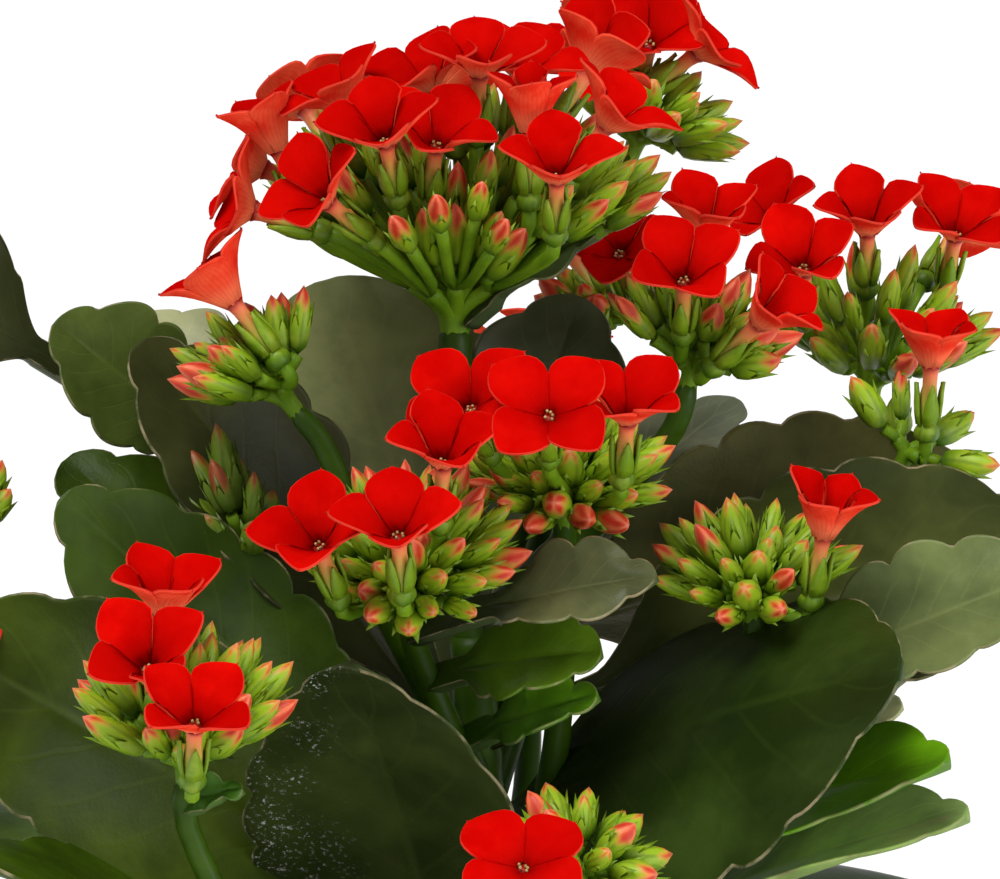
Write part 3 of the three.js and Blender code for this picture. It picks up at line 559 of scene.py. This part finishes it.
def leaf(
    root, tip, width, face, arch, lift, lobes, petiole, tint, salt, rows=56, finish=0, chalk=0.0,
):
    """A leaf's skin: rings of points round it, from its root to its tip."""
    root, tip, face = (np.array(p, dtype=float) for p in (root, tip, face))
    along = tip - root
    length = np.linalg.norm(along)
    along /= length
    lobes = max(lobes, round(length * (1 - petiole) / LOBE_LENGTH))
    out = face - along * face.dot(along)
    out /= np.linalg.norm(out)
    side = np.cross(along, out)
    # Each station is a share of the whole length, and of the blade's
    stations = [(petiole * k / 4, 0) for k in range(4)]
    for s in (*np.linspace(0, 0.975, rows), 0.99, 0.997):
        stations.append((petiole + (1 - petiole) * s, s))
    points = []
    for t, s in stations:
        swell = sin(pi * s ** 1.1) ** 0.55 * min(1, 0.35 + 3.5 * s)
        scallop = 1 - abs(sin(pi * s * (2 * lobes + 1) / 2)) ** 0.5
        cut = NOTCH * min(1, 2.2 * s, 3 * swell) * scallop
        half = ((width / 2 * swell - cut) ** 3 + (PETIOLE_HALF * (1 - s) ** 2) ** 3) ** (1 / 3)
        broad = 2 * half / width
        fleshy = min(1, s / 0.1)
        slope = math.atan(arch * 4 * (1 - 2 * t) / length)
        normal = out * cos(slope) - along * sin(slope)
        middle = root + along * t * length + out * arch * 4 * t * (1 - t)
        thick = PETIOLE_THICK + (BLADE_THICK - PETIOLE_THICK) * fleshy
        upper, lower = [], []
        for q in COLUMNS:
            phase = 7 * s + FULL_TURN * draw(salt, 2 if q > 0 else 0)
            wave = WAVE * sin(phase) * q * q * fleshy
            groove = -GROOVE * math.exp(-(q / 0.09) ** 2) * fleshy * min(1, 4 * (1 - s))
            bulge = QUILT * sin(pi * min(1, abs(q) * 1.1))
            quilt = bulge * cos(9 * s - 2.4 * abs(q)) * fleshy
            raised = lift * q * q * broad * broad + wave * broad + (groove + quilt * broad)
            flat = BLADE_EDGE + (1 - BLADE_EDGE) * (1 - q * q)
            body = (1 - q * q) ** 0.5 * (1 - fleshy) + flat * fleshy
            deep = thick * body * (EDGE_THIN if abs(q) == 1 else 1) + SKIN_THICK
            top = middle + side * q * half + normal * raised
            upper.append(top)
            lower.append(top - normal * deep)
        rounded = min(ROUNDED, half * 0.1)
        right = (upper[-1] + lower[-1]) / 2 + side * rounded
        left = (upper[0] + lower[0]) / 2 - side * rounded
        points.extend([*upper, right, *lower[::-1], left])
    faces = ring_faces(len(points), len(ACROSS))
    faces[:2] = [end[::-1] for end in faces[:2]]
    marks = {"across": ACROSS, "rim": abs(ACROSS) == 1, "under": UNDER}
    marks = {mark: np.tile(values, len(stations)) for mark, values in marks.items()}
    share = np.repeat([s for _, s in stations], len(ACROSS))
    return Shape(points, faces, finish, along=share, chalk=chalk, tint=(*tint, 1), **marks)


def leaf_skin():
    """Each leaf's own green, clouded, with slanting veins, painted shade towards its foot, a pale rim
    that is a painted highlight, and dry water marks.
    """
    skin = Finish("leaf_skin", {"Specular IOR Level": 0.1})
    across = skin.mark("across").size()
    along = skin.mark("along")
    cloud = skin.specks(55, 4, 0.55, 0.3)
    mottle = skin.specks(260, 4, 0.6)
    pores = skin.specks(2600, 2, 0.5)
    own = skin.mark("tint", "Color")
    light = skin.dyed(own, (1.75, 1.7, 1.5))
    deep = skin.dyed(own, (0.62, 0.66, 0.6))
    painted_foot_shade = skin.dyed(own, (0.35, 0.4, 0.3))
    flesh = skin.mixed(cloud.between(0.3, 0.72), deep, light)
    flesh = skin.mixed(mottle.between(0.42, 0.75) * 0.35, flesh, deep)
    slant = (along * 52 - across * 13 + 1.5 * cloud).sine()
    vein = slant.between(0.9, 1) * (1 - across.between(0.55, 0.95)) * 0.18
    midrib = (1 - across.between(0, 0.055)) * (1 - along.between(0.75, 0.98)) * 0.4
    flesh = skin.mixed(vein.or_more(midrib), flesh, light)
    # Darker towards each leaf's foot: painted shade in the heart of the plant
    flesh = skin.mixed((1 - along.between(0, 0.45)) * 0.75, flesh, painted_foot_shade)
    below = skin.mark("under")
    flesh = skin.mixed(below * 0.5, flesh, (0.09, 0.13, 0.05))
    # The pale broken rim is a painted highlight: glints where the thick edge catches the light
    edge = skin.mark("rim").between(0.72, 1)
    flesh = skin.mixed(edge * mottle.between(0.4, 0.64) * 0.65, flesh, (0.34, 0.28, 0.16))
    drops = skin.specks(1500, 4, 0.75).between(0.56, 0.66)
    splash = skin.specks(190, 3, 0.6).between(0.42, 0.6)
    left_half = 1 - skin.mark("across").between(-0.95, -0.2)
    dust = drops * splash * skin.mark("chalk") * left_half
    return skin.fed({
        "Base Color": skin.mixed(dust, flesh, (0.6, 0.62, 0.6)),
        "Roughness": 0.22 + 0.2 * cloud + 0.14 * below + 0.3 * dust,
        "Normal": skin.relief(pores * 0.2 + mottle * 0.8 - vein * 0.7, 0.16, 0.7),
    })


leaf_shapes = []
for index, row in enumerate(LEAVES):
    leaf_shapes.append(leaf(*row, index, chalk=float(index == SPECKLED_LEAF)))
for index in range(LOWER_COUNT):
    turn = index * GOLDEN + LOWER_TURN
    way = Vector((cos(turn), sin(turn), 0))
    height = LOWER_FIRST + index * LOWER_STEP
    reach = LOWER_REACH - 1.1 * index + 8 * (draw(index, 3) - 0.5)
    rise = 8 + 1.6 * index + 8 * draw(index, 4)
    root = way * 1.5 + Vector((0, 0, height))
    tip = way * reach + Vector((0, 0, height + rise))
    face = way * (0.15 + 0.2 * draw(index, 5)) + UP
    green = (0.03 + 0.012 * draw(index, 6), 0.055 + 0.025 * draw(index, 7), 0.011)
    leaf_shapes.append(leaf(root, tip, 38 - 0.5 * index, face, 12, -3, 3, 0.2, green, index))
leaf_shapes.append(leaf(*STALK_LEAF, 31, rows=16))
leaf_finish = leaf_skin()
leaves = made("leaves", leaf_shapes, [leaf_finish])
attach(leaves, "root")
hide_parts("leafy_stems")


# Heads of buds. Each stalk forks into green branches, and every branch ends in a tuft of fleshy
# buds: four ridged sepals round a folded bloom whose tip turns salmon as it ripens.

# Each head. First its dome of bud tips: how wide, how high and how high at its edge it is, and how
# many stand in it. Then its flowers: the throat from where the stalk divides, the bearing and the
# height of the way it faces in degrees, its turn about that way, and how far it is still closed
HEADS = {
    "crown": ((25, 27, 13.5, 84), [
        (-15, -20, 17, -142, 36, 40, 36), (-8, -20, 24, -106, 56, 22, 38),
        (-2, -15, 23, -78, 56, 55, 38), (12, -23, 20, -88, 56, 2, 40),
        (18, -11, 25, -25, 54, 30, 38), (3, -8, 31, -85, 66, 0, 36), (8, -1, 30, -60, 68, 40, 34),
        (-3, -4, 29, -140, 62, 30, 36), (9, -16, 25, -85, 82, 0, 62),
        (-13, -8, 27, -155, 58, 0, 36), (-21, -8, 22, -170, 66, 20, 56),
        (-23, -3, 19, 178, 24, 30, 26), (-24, -12, 15, -175, 18, 0, 24),
        (16, 4, 30, 30, 52, 0, 30), (-18, 9, 25, 130, 45, 30, 24), (-3, 19, 26, 95, 40, 10, 24),
    ]),
    "crown_back": ((13, 13, 3, 28), [
        (-5, -5, 12, -110, 34, 10, 28), (2, 1, 13, -75, 52, 40, 30), (8, 0, 12, -10, 38, 20, 26),
        (-1, 8, 15, 95, 50, 10, 25),
    ]),
    "left_small": ((9.5, 16, 8, 24), [(-7, -3, 13, 175, 52, 0, 48)]),
    "right_mid": ((12, 15, 4, 33), [
        (-1, -10, 13, -90, 54, 30, 38), (2, 3, 17, -80, 70, 20, 46), (8, -9, 8, -35, 42, 0, 50),
    ]),
    "right_back": ((10, 12, 4, 20), [(2, -6, 11, -105, 46, 0, 32), (-4, 5, 10, 140, 45, 30, 25)]),
    "right_high": ((15, 18, 6, 24), [
        (-12, 4, 21, -130, 50, 20, 34), (-9, -14, 17, -95, 52, 30, 36),
        (-1, -7, 21, -92, 62, 15, 42), (10, -3, 20, -78, 58, 30, 36), (11, 9, 19, 50, 40, 30, 25),
    ]),
    "right_tip": ((11, 11, 3, 7), [(3, -4, 12.5, -75, 80, 40, 46)]),
    "front_left": ((14, 13, 6, 38), [
        (-10, -16, 8, -112, 52, 8, 32), (-1, -21, 10, -95, 58, 6, 34),
        (4, -12, 17, -84, 62, 12, 40),
    ]),
    "front_mid": ((13, 12, 4, 32), [
        (-11, -16, 14, -112, 44, 55, 26), (-2, -22, 14, -90, 42, 45, 20),
        (7, -17, 13, -82, 60, 45, 38),
    ]),
    "front_right": ((13, 13, 4, 30), [(8, -6, 10, -60, 72, 30, 56)]),
    "low_left": ((13, 17, 7, 38), [
        (-2, -3, 19, -85, 72, 28, 44), (-3.6, -9.8, 13.6, -100, 48, 38, 36),
        (2, -19, 9, -84, 56, 47, 38),
    ]),
    "low_front": ((11, 9, 2, 18), [(-6, -13, 4, -92, 48, 45, 10)]),
    "behind_left": ((6, 18, 4, 11), []),
    "edge_left": ((7, 14, 5, 14), [(-6, 4, 9, 160, 45, 20, 30)]),
    "edge_low": ((9, 10, 3, 14), [(7, -9, 7, -120, 40, 45, 28)]),
    "rear_left": ((14, 14, 4, 30), [(-6, 12, 13, 120, 30, 0, 24), (-4, 0, 17, 160, 65, 15, 30)]),
    "rear_mid": ((15, 15, 4, 32), [(-8, 12, 12, 110, 25, 20, 24), (4, 5, 18, 75, 60, 30, 30)]),
    "rear_right": ((13, 13, 4, 26), [(8, 9, 11, 45, 30, 0, 24), (0, 4, 17, 100, 60, 40, 30)]),
    "rear_low": ((12, 12, 4, 24), [(-9, 5, 10, 160, 25, 10, 24), (1, 5, 15, 100, 60, 0, 30)]),
}

# The head whose buds are darkened, as painted shade from the leaves over it
PAINTED_SHADE_HEAD, PAINTED_SHADE = "behind_left", 0.6

# Heads whose flowers are one solid with them, and how much deeper those sit
ONE_WITH_HEAD = ("edge_left", "edge_low", "rear_left", "rear_mid", "rear_right", "rear_low")
SUNK = 0.72

SWEEP = radians(82)
ROOT_SHARE, FORK_SHARE, FORK_END = 0.3, 0.24, 0.95
BUDS_TO_A_FORK = 6
BUD_LENGTH, BUD_BELLY, PEDICEL = 10, 1.65, 0.7
TUBE_LENGTH, SEAT, STEEP = 7.5, 0.36, 80

# What a bud keeps out of at each flower: how far from its axis, and from where to where on that
KEPT_CLEAR = [(8.6, -2, 4.6), (5, 0, 9), (3.4, -TUBE_LENGTH - 2, 0)]

# Bud outline: share of its length from its foot, and of its widest radius
BUD_OUTLINE = [
    (0, 0.46), (0.09, 0.72), (0.28, 0.98), (0.48, 1.0), (0.66, 0.87), (0.82, 0.6), (0.93, 0.33),
    (1, 0.05),
]

# A sepal's free point: its corners by turn, distance and height, and its faces
POINT_CORNERS = ((-0.4, 0.95, 0.42), (0.4, 0.95, 0.42), (0, 0.6, 0.52), (0.05, 1.2, 0.8))
POINT_FACES = ((0, 1, 3), (1, 2, 3), (2, 0, 3), (0, 2, 1))

# The narrow leaf where the crown's stalk divides, measured from there
BRACT = ((1, -1, 1), (17, -7, 12), 6, (-0.3, -0.6, 0.7), 1, 0.6, 2, 0.2, (0.06, 0.09, 0.03))


def spiral(count):
    """So many places spread over a dome: the angle down from its top and the turn round it."""
    return [(SWEEP * sqrt((k + 0.5) / count), k * GOLDEN) for k in range(count)]


def dome_place(name, down, turn, share):
    """A point of a head's dome, at an angle down from its top and a turn round its axis."""
    *_, base, lean, _ = STALKS[name]
    spread, rise, rim, _ = HEADS[name][0]
    wide = spread * sin(down)
    way = Vector((wide * cos(turn), wide * sin(turn), (rise - rim) * cos(down) + rim)) * share
    way.rotate(UP.rotation_difference(Vector(lean).normalized()))
    return way + Vector(base)


def flower_place(name, row):
    """Where a flower's throat is, which way it faces, its place, and how far it is closed."""
    bearing, height, turn = (radians(angle) for angle in row[3:6])
    level = cos(height)
    out = Vector((level * cos(bearing), level * sin(bearing), sin(height)))
    throat = Vector(STALKS[name][2]) + Vector(row[:3])
    beside = Vector((0, 1, 0)) if row[4] > STEEP else UP
    side = beside.cross(out).normalized()
    up = out.cross(side)
    seat = throat - out * SUNK if name in ONE_WITH_HEAD else throat
    facing = Matrix.Translation(seat) @ Matrix((side, up, out)).transposed().to_4x4()
    return throat, out, facing @ Matrix.Rotation(turn, 4, "Z"), row[6]


def is_clear(start, tip, flowers):
    """A bud may not stand in front of a flower, through its petals or against its tube."""
    for throat, out, _, _ in flowers:
        for share in (0.4, 0.52, 0.64, 0.76, 0.88, 1):
            place = start.lerp(tip, share) - throat
            ahead = place.dot(out)
            aside = (place - out * ahead).length
            if any(aside < wide and low < ahead < high for wide, low, high in KEPT_CLEAR):
                return False
    return True


def bud_places(name, flowers):
    """The root, the tip and the size of each bud of a head."""
    spread, rise, _, count = HEADS[name][0]
    for k, (down, turn) in enumerate(spiral(count)):
        start = dome_place(name, down, turn, ROOT_SHARE)
        for share in (1, 0.86, 0.72):
            tip = dome_place(name, down, turn, share + 0.1 * draw(k, rise))
            if is_clear(start, tip, flowers):
                yield start, tip, 0.75 + 0.4 * draw(k, spread)
                break


def bud_form():
    """A bud of length and radius 1 on its foot: a ball drawn to its outline, with four ridges."""
    ball = shape_of(added(bpy.ops.mesh.primitive_uv_sphere_add, segments=8, ring_count=8))
    x, y, z = ball.points.T
    shares, wide = zip(*BUD_OUTLINE)
    share = np.round((1 + z) * 1e6) / 2e6
    share = np.arccos(np.clip(1 - 2 * share, -1, 1)) / pi
    turn = np.arctan2(y, x)
    pole = np.hypot(x, y) < 1e-6
    ridge = np.where(pole, 0, np.cos(4 * turn))
    ridged = np.interp(share, shares, wide) * (1 + 0.09 * ridge * (1 - share ** 2))
    radius = np.where(pole, 0, ridged)
    swirl = turn + 0.7 * share ** 3
    points = np.stack([radius * np.cos(swirl), radius * np.sin(swirl), share], axis=1)
    return Shape(points, ball.faces, along=share, ridge=ridge)


def sepal_tips():
    """The free points of the four sepals, a little off the bud."""
    points, faces = [], []
    for k in range(4):
        turn = k * pi / 2 + 0.12
        start = len(points)
        for aside, out, high in POINT_CORNERS:
            points.append((out * cos(turn + aside), out * sin(turn + aside), high))
        faces.extend(tuple(start + corner for corner in face) for face in POINT_FACES)
    return Shape(points, faces, along=0.3, ridge=1.0)


def standing(foot, tip, radius, turn):
    """The place of a form of length and radius 1 that stands from foot to tip."""
    way = tip - foot
    facing = UP.rotation_difference(way.normalized()).to_matrix().to_4x4()
    size = Matrix.Diagonal((radius, radius, way.length, 1))
    return Matrix.Translation(foot) @ facing @ Matrix.Rotation(turn, 4, "Z") @ size


def bud_skin():
    """Green sepals, and past their seam a folded tip that ripens from yellow to salmon, with painted
    shade in its folds and a painted highlight on its ridges; marked buds are darkened as painted
    shade.
    """
    skin = Finish("bud_skin", {"Specular IOR Level": 0.3})
    along = skin.mark("along")
    ridge = skin.mark("ridge")
    ripe = skin.mark("ripe")
    cloud = skin.specks(330, 3, 0.6)
    streak = skin.specks(1100, 3, 0.6)
    green = skin.mixed(along.between(0, 0.6), (0.05, 0.13, 0.003), (0.23, 0.37, 0.008))
    green = skin.mixed(cloud.between(0.45, 0.7) * 0.4, green, (0.34, 0.42, 0.025))
    green = skin.mixed(ridge.between(-0.4, -1) * 0.45, green, (0.05, 0.11, 0.01))
    seam = 0.86 - 0.36 * ripe * ripe + 0.08 * ridge + 0.16 * (cloud - 0.5)
    past = along - seam
    # The tip's folds are painted light: dark red in the grooves and along the fold lines is painted
    # shade, and peach on the ridges is a painted highlight
    painted_fold_light = (ridge + 0.5 * cloud).between(-0.6, 1)
    fold = skin.mixed(painted_fold_light, (0.5, 0.03, 0.01), (0.72, 0.15, 0.06))
    fold = skin.mixed((1 - ridge.size().between(0, 0.3)) * 0.35, fold, (0.42, 0.02, 0.01))
    tip = skin.mixed(past.between(-0.04, 0.18), (0.46, 0.32, 0.03), fold)
    tip = skin.mixed(along.between(0.93, 1) * 0.3, tip, (0.8, 0.5, 0.3))
    colour = skin.mixed(past.between(-0.1, 0.06), green, tip)
    return skin.fed({
        # Buds with the mark are darkened towards a deep green: painted shade
        "Base Color": skin.mixed(skin.mark("shaded"), colour, (0.02, 0.04, 0.006)),
        "Roughness": 0.38 + 0.12 * streak,
        "Normal": skin.relief(streak * 0.25 + cloud * 0.75, 0.12, 0.4),
    })


bud = bud_form()
points_of_sepals = sepal_tips()
bud_finish = bud_skin()
branch_finish = stem_skin((0.09, 0.19, 0.005), (0.17, 0.3, 0.01))
flower_places = {
    name: [flower_place(name, row) for row in rows] for name, (_, rows) in HEADS.items()
}
for name, ((spread, _, _, count), _) in HEADS.items():
    *_, base, lean, thick = STALKS[name]
    base = Vector(base)
    upright = Vector(lean).normalized()
    places = spiral(max(3, round(count / BUDS_TO_A_FORK)))
    forks = [dome_place(name, down * 0.9, turn + 0.5, FORK_SHARE) for down, turn in places]
    shapes = []
    for fork in forks:
        bend = base + upright * 0.8 + (fork - base) * 0.2
        path = smooth_path([base - upright * 3, bend, fork], 9)
        shapes.append(tube(path, np.linspace(thick * 0.85, FORK_END, 9), sides=8, finish=1))
    for k, (start, tip, size) in enumerate(bud_places(name, flower_places[name])):
        length = (tip - start).length
        long = min(BUD_LENGTH * size, length * 0.85)
        foot = tip.lerp(start, long / length)
        fork = min(forks, key=lambda place: (place - foot).length)
        path = smooth_path([fork, fork.lerp(start, 0.6) + upright * 0.4, foot], 5)
        shapes.append(tube(path, np.linspace(PEDICEL, PEDICEL * 1.15, 5), sides=6, finish=1))
        ripe = min(1, max(0, 1.5 * draw(k, spread + 7) - 0.35))
        shaded = PAINTED_SHADE if name == PAINTED_SHADE_HEAD else 0.0
        place = standing(foot, tip, BUD_BELLY * size, FULL_TURN * draw(k, 8))
        for form in (bud, points_of_sepals):
            shapes.append(form.placed(place, ripe=ripe, shaded=shaded))
    for throat, out, _, _ in flower_places[name]:
        foot = throat - out * (TUBE_LENGTH + SEAT)
        fork = min(forks, key=lambda spot: (spot - foot).length)
        start = foot - out * 3.4
        path = smooth_path([fork, fork.lerp(start, 0.55) - out * 0.6, start, foot - out * 1.5], 8)
        shapes.append(tube(path, np.linspace(PEDICEL * 1.1, PEDICEL * 1.3, 8), sides=8, finish=1))
        cup = standing(foot - out * 2.4, foot + out * 0.1, 1.5, 0)
        cup @= Matrix.Diagonal((1, 1, 1.35, 1))
        shapes.append(bud.placed(cup, ripe=0.0, along=0.4 * bud.marks["along"]))
    if name == "crown":
        root, tip, *rest = BRACT
        shapes.append(leaf(Vector(root) + base, Vector(tip) + base, *rest, 1, rows=24, finish=2))
    finishes = [bud_finish, branch_finish, leaf_finish]
    head = made("buds_" + name, shapes, finishes if name == "crown" else finishes[:2])
    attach(head, "root")
    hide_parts("head_" + name)


# Flowers. Four broad red petals on a slim salmon tube, with a few yellow-green anthers in its mouth
# and four green sepals at its foot. One petal is modelled, and each flower opens its four by its
# own angle.
PETAL_START, PETAL_TIP, PETAL_HALF, PETAL_THICK = 0.6, 8.5, 4, 0.3
PETAL_OUTLINE = [
    (0, 0.34), (0.1, 0.52), (0.25, 0.8), (0.4, 0.96), (0.53, 1), (0.66, 0.97), (0.77, 0.84),
    (0.87, 0.59), (0.95, 0.32), (1, 0.05),
]

# How far a petal's tip is drawn out, its foot creased, its edges cupped and its middle arched
POINT, CREASE, CUP, ARCH = 0.3, 0.3, 0.55, 0.5

# The tube's radii by height, and the angle at which a flower is shut and its tube a fifth slimmer
TUBE_OUTLINE = [
    (-7.5, 1.15), (-6.4, 1.35), (-4.8, 1.2), (-3, 1), (-1.6, 1.05), (-0.9, 1.2), (-0.4, 1.5),
]
SHUT = 66
ANTHERS, ANTHER_SIZE = 5, Matrix.Diagonal((0.2, 0.2, 0.3, 1))
SEPAL_LENGTH, SEPAL_HALF, SEPAL_THICK = 5.2, 0.95, 0.4


def thickened(sheet, thickness, offset):
    """A flat sheet that is given its thickness."""
    solid = sheet.modifiers.new("thickness", "SOLIDIFY")
    solid.thickness = thickness
    solid.offset = offset
    bpy.ops.object.modifier_apply(modifier="thickness")
    return sheet


def petal_form():
    """A petal: a grid drawn to its outline, with a fine point."""
    sheet = added(bpy.ops.mesh.primitive_grid_add, x_subdivisions=10, y_subdivisions=8)
    shares, wide = zip(*PETAL_OUTLINE)
    marks = []
    for corner in sheet.data.vertices:
        share = sin(pi / 4 * (corner.co.x + 1)) ** 0.9
        across = sin(pi / 2 * corner.co.y)
        half = PETAL_HALF * np.interp(share, shares, wide)
        reach = PETAL_START + (PETAL_TIP - PETAL_START) * share
        reach += POINT * max(0, 1 - abs(across) * 3) * max(0, share - 0.96) / 0.04
        crease = -CREASE * math.exp(-(across / 0.22) ** 2) * (1 - share)
        cup = CUP * across * across * sin(pi * share)
        arch = ARCH * sin(pi * share * 0.8)
        corner.co = (reach, across * half, cup + arch + crease)
        marks.append((share, across))
    share, across = np.tile(np.array(marks).T, 2)
    under = np.repeat([0, 1], len(marks))
    return shape_of(thickened(sheet, PETAL_THICK, -1), along=share, across=across, under=under)


def opened(petal, closed, step, salt):
    """The petal lifted by the flower's angle and its own, and turned to its place."""
    angle = radians(closed + 9 * (draw(step, salt) - 0.5))
    x, y, z = petal.points.T
    x = x * (0.95 + 0.1 * draw(step, salt + 6))
    share = petal.marks["along"]
    curl = 0.35 + 0.65 * max(0, 1 - closed / 45)
    droop = curl * (0.4 + 2.4 * draw(step, salt + 3)) * share ** 3
    aside = y / PETAL_HALF
    twist = (draw(step, salt + 4) - 0.5) * 1.7 * share * aside
    fold = (0.25 + closed / 45) * aside ** 2 * share + twist
    high = z + fold - droop
    out = 1 + (x - 1) * cos(angle) - high * sin(angle)
    rise = (x - 1) * sin(angle) + high * cos(angle)
    # Each petal keeps to its own quarter of the flower
    limit = 1.05 * np.maximum(out, 0.3)
    wide = np.clip(y * (1 - closed / 220), -limit, limit)
    turn = step * pi / 2 + 0.09 * (draw(step, salt + 5) - 0.5)
    overlap = 0.22 * (step % 2) * (0.4 + 0.6 * share)
    x = out * cos(turn) - wide * sin(turn)
    y = out * sin(turn) + wide * cos(turn)
    points = np.stack([x, y, rise + overlap], axis=1)
    return Shape(points, petal.faces, tone=draw(step, salt + 9), **petal.marks)


def sepal_form():
    """A narrow pointed sepal that hugs the tube."""
    sheet = added(bpy.ops.mesh.primitive_grid_add, x_subdivisions=4, y_subdivisions=2)
    for corner in sheet.data.vertices:
        share = (corner.co.x + 1) / 2
        half = SEPAL_HALF * sin(pi * (0.25 + 0.74 * share)) * (1.1 - 0.3 * share)
        out = 1.25 + 0.35 * sin(pi * share) + 0.5 * share ** 4 - 0.25 * corner.co.y ** 2
        corner.co = (out, corner.co.y * half, SEPAL_LENGTH * share)
    return shape_of(thickened(sheet, SEPAL_THICK, 0))


def petal_skin():
    """Scarlet inside and darker to the foot as painted shade; salmon outside, paler to the foot and
    glowing a little, as painted light coming through.
    """
    skin = Finish("petal_skin", {"Specular IOR Level": 0.0, "Emission Strength": 0.14})
    along = skin.mark("along")
    across = skin.mark("across").size()
    outside = skin.mark("under").between(0.55, 1)
    cloud = skin.specks(190, 3, 0.6)
    grain = skin.specks(2400, 2, 0.5)
    ray = (skin.mark("across") * 34).sine()
    red = skin.mixed(cloud.between(0.3, 0.7), (0.46, 0.001, 0.0004), (0.58, 0.003, 0.0012))
    red = skin.mixed(skin.mark("tone") * 0.55, red, (0.36, 0.0008, 0.0006))
    # Darker red towards the foot and along the foot of the middle crease: painted shade in the
    # flower's heart
    red = skin.mixed((1 - along.between(0.02, 0.5)) * 0.6, red, (0.24, 0.001, 0.0008))
    crease = (1 - across.between(0, 0.14)) * (1 - along.between(0.5, 0.9))
    red = skin.mixed(crease * 0.25, red, (0.42, 0.002, 0.001))
    back = skin.mixed(cloud.between(0.35, 0.7), (0.68, 0.02, 0.008), (0.8, 0.085, 0.035))
    # Paler outside towards the foot: painted light coming through the petal
    back = skin.mixed((1 - along.between(0.05, 0.55)) * 0.6, back, (0.84, 0.25, 0.11))
    back = skin.mixed(ray.between(0.2, 1) * 0.25, back, (0.6, 0.012, 0.006))
    side = across.between(0.975, 1) * along.between(0.3, 0.6)
    edge = side.or_more(along.between(0.98, 1))
    return skin.fed({
        "Base Color": skin.mixed(edge * 0.3, skin.mixed(outside, red, back), (0.8, 0.12, 0.07)),
        # The outside glows with its own colour: painted light that stands in for light through the
        # petal
        "Emission Color": skin.mixed(outside, (0, 0, 0), back),
        "Roughness": 0.55 + 0.14 * cloud,
        "Normal": skin.relief(grain * 0.3 + ray * 0.05 * (1 - along * 0.6), 0.1, 0.5),
    })


def tube_skin():
    skin = Finish("tube_skin", {"Roughness": 0.45, "Specular IOR Level": 0.3})
    along = skin.mark("along")
    streak = skin.specks(700, 3, 0.6)
    lower = skin.mixed(along.between(0.15, 0.8), (0.38, 0.44, 0.05), (0.76, 0.15, 0.07))
    return skin.fed({
        # Dark red at the top of the tube, in the flower's throat: painted shade
        "Base Color": skin.mixed(along.between(0.7, 0.98), lower, (0.3, 0.004, 0.002)),
        "Normal": skin.relief(streak, 0.15, 0.5),
    })


petal = petal_form()
sepal = sepal_form()
anther = shape_of(added(bpy.ops.mesh.primitive_ico_sphere_add, subdivisions=1), finish=2)
pollen = grainy(
    "anther_skin", 0.7, (1800, 2, 0.6), (0.4, 0.6), (0.3, 0.2, 0.05), (0.55, 0.42, 0.16), 0.15,
)
bloom_finishes = [petal_skin(), tube_skin(), pollen, bud_finish]
for order, (name, places) in enumerate(flower_places.items()):
    if not places:
        continue
    shapes = []
    for k, (_, _, place, closed) in enumerate(places):
        salt = 11 * order + k
        for step in range(4):
            shapes.append(opened(petal, closed, step, salt).placed(place))
        spine = [(0, 0, height) for height, _ in TUBE_OUTLINE]
        slim = [radius * (1 - 0.2 * closed / SHUT) for _, radius in TUBE_OUTLINE]
        shapes.append(tube(spine, slim, sides=10, finish=1).placed(place))
        for step in range(ANTHERS):
            turn = step * pi / 2.5 + draw(step, salt)
            far = 0.3 + 0.4 * draw(step, salt + 1)
            high = -0.3 + 0.4 * draw(step, salt + 2)
            spot = Matrix.Translation((far * cos(turn), far * sin(turn), high))
            shapes.append(anther.placed(place @ (spot @ ANTHER_SIZE)))
        foot = place @ Matrix.Translation((0, 0, -TUBE_LENGTH - 0.2))
        for step in range(4):
            around = Matrix.Rotation(step * pi / 2 + pi / 4, 4, "Z")
            green = sepal.placed(foot @ around, along=0.3, ridge=0.6, ripe=0.0)
            green.finish = 3
            shapes.append(green)
    blooms = made("blooms_" + name, shapes, bloom_finishes)
    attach(blooms, "root")
    nodes = [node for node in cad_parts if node.rsplit("_", 1)[0] == "flowers_" + name]
    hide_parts(*(nodes or ["head_" + name]))


# Floor, light and camera. A plain pale floor and a pale room, a broad soft lamp high at the front
# left and a weaker one at the right, and a long lens from a little above, as in the photo.
CENTRE = Vector((0.0024, 0, 0.202))
TILT, DISTANCE = radians(8), 0.8
FLOOR, ROOM_LIGHT = 9, 0.34

floor = added(bpy.ops.mesh.primitive_circle_add, vertices=SIDES, radius=FLOOR, fill_type="NGON")
floor.name = "floor"
pale = Finish("pale_floor", {"Roughness": 0.9, "Specular IOR Level": 0.1})
shade = pale.mixed(pale.specks(3, 2).between(0.3, 0.7), (0.93, 0.93, 0.93), (0.95, 0.95, 0.95))
floor.data.materials.append(pale.fed({"Base Color": shade}))

room = bpy.data.worlds.new("room")
room.use_nodes = True
background = room.node_tree.nodes["Background"].inputs
background["Color"].default_value = (1, 1, 1, 1)
background["Strength"].default_value = ROOM_LIGHT
bpy.context.scene.world = room
bpy.context.scene.view_settings.view_transform = "Standard"


def aimed(name, data, place, **settings):
    """A lamp or camera there that looks at the plant's middle."""
    for key, value in settings.items():
        setattr(data, key, value)
    thing = bpy.data.objects.new(name, data)
    thing.location = place
    thing.rotation_euler = (CENTRE - Vector(place)).to_track_quat("-Z", "Y").to_euler()
    bpy.context.collection.objects.link(thing)
    return thing


sun, panel = bpy.data.lights.new("overhead", "SUN"), bpy.data.lights.new("side", "AREA")
aimed("overhead", sun, (-0.6, -0.9, 1.9), energy=3, angle=radians(35))
aimed("side", panel, (1.2, -1, 0.45), energy=13, size=1)
back = Vector((0, -DISTANCE * cos(TILT), DISTANCE * sin(TILT)))
camera = aimed("camera", bpy.data.cameras.new("camera"), CENTRE + back, lens=240, sensor_width=36)
bpy.context.scene.camera = camera
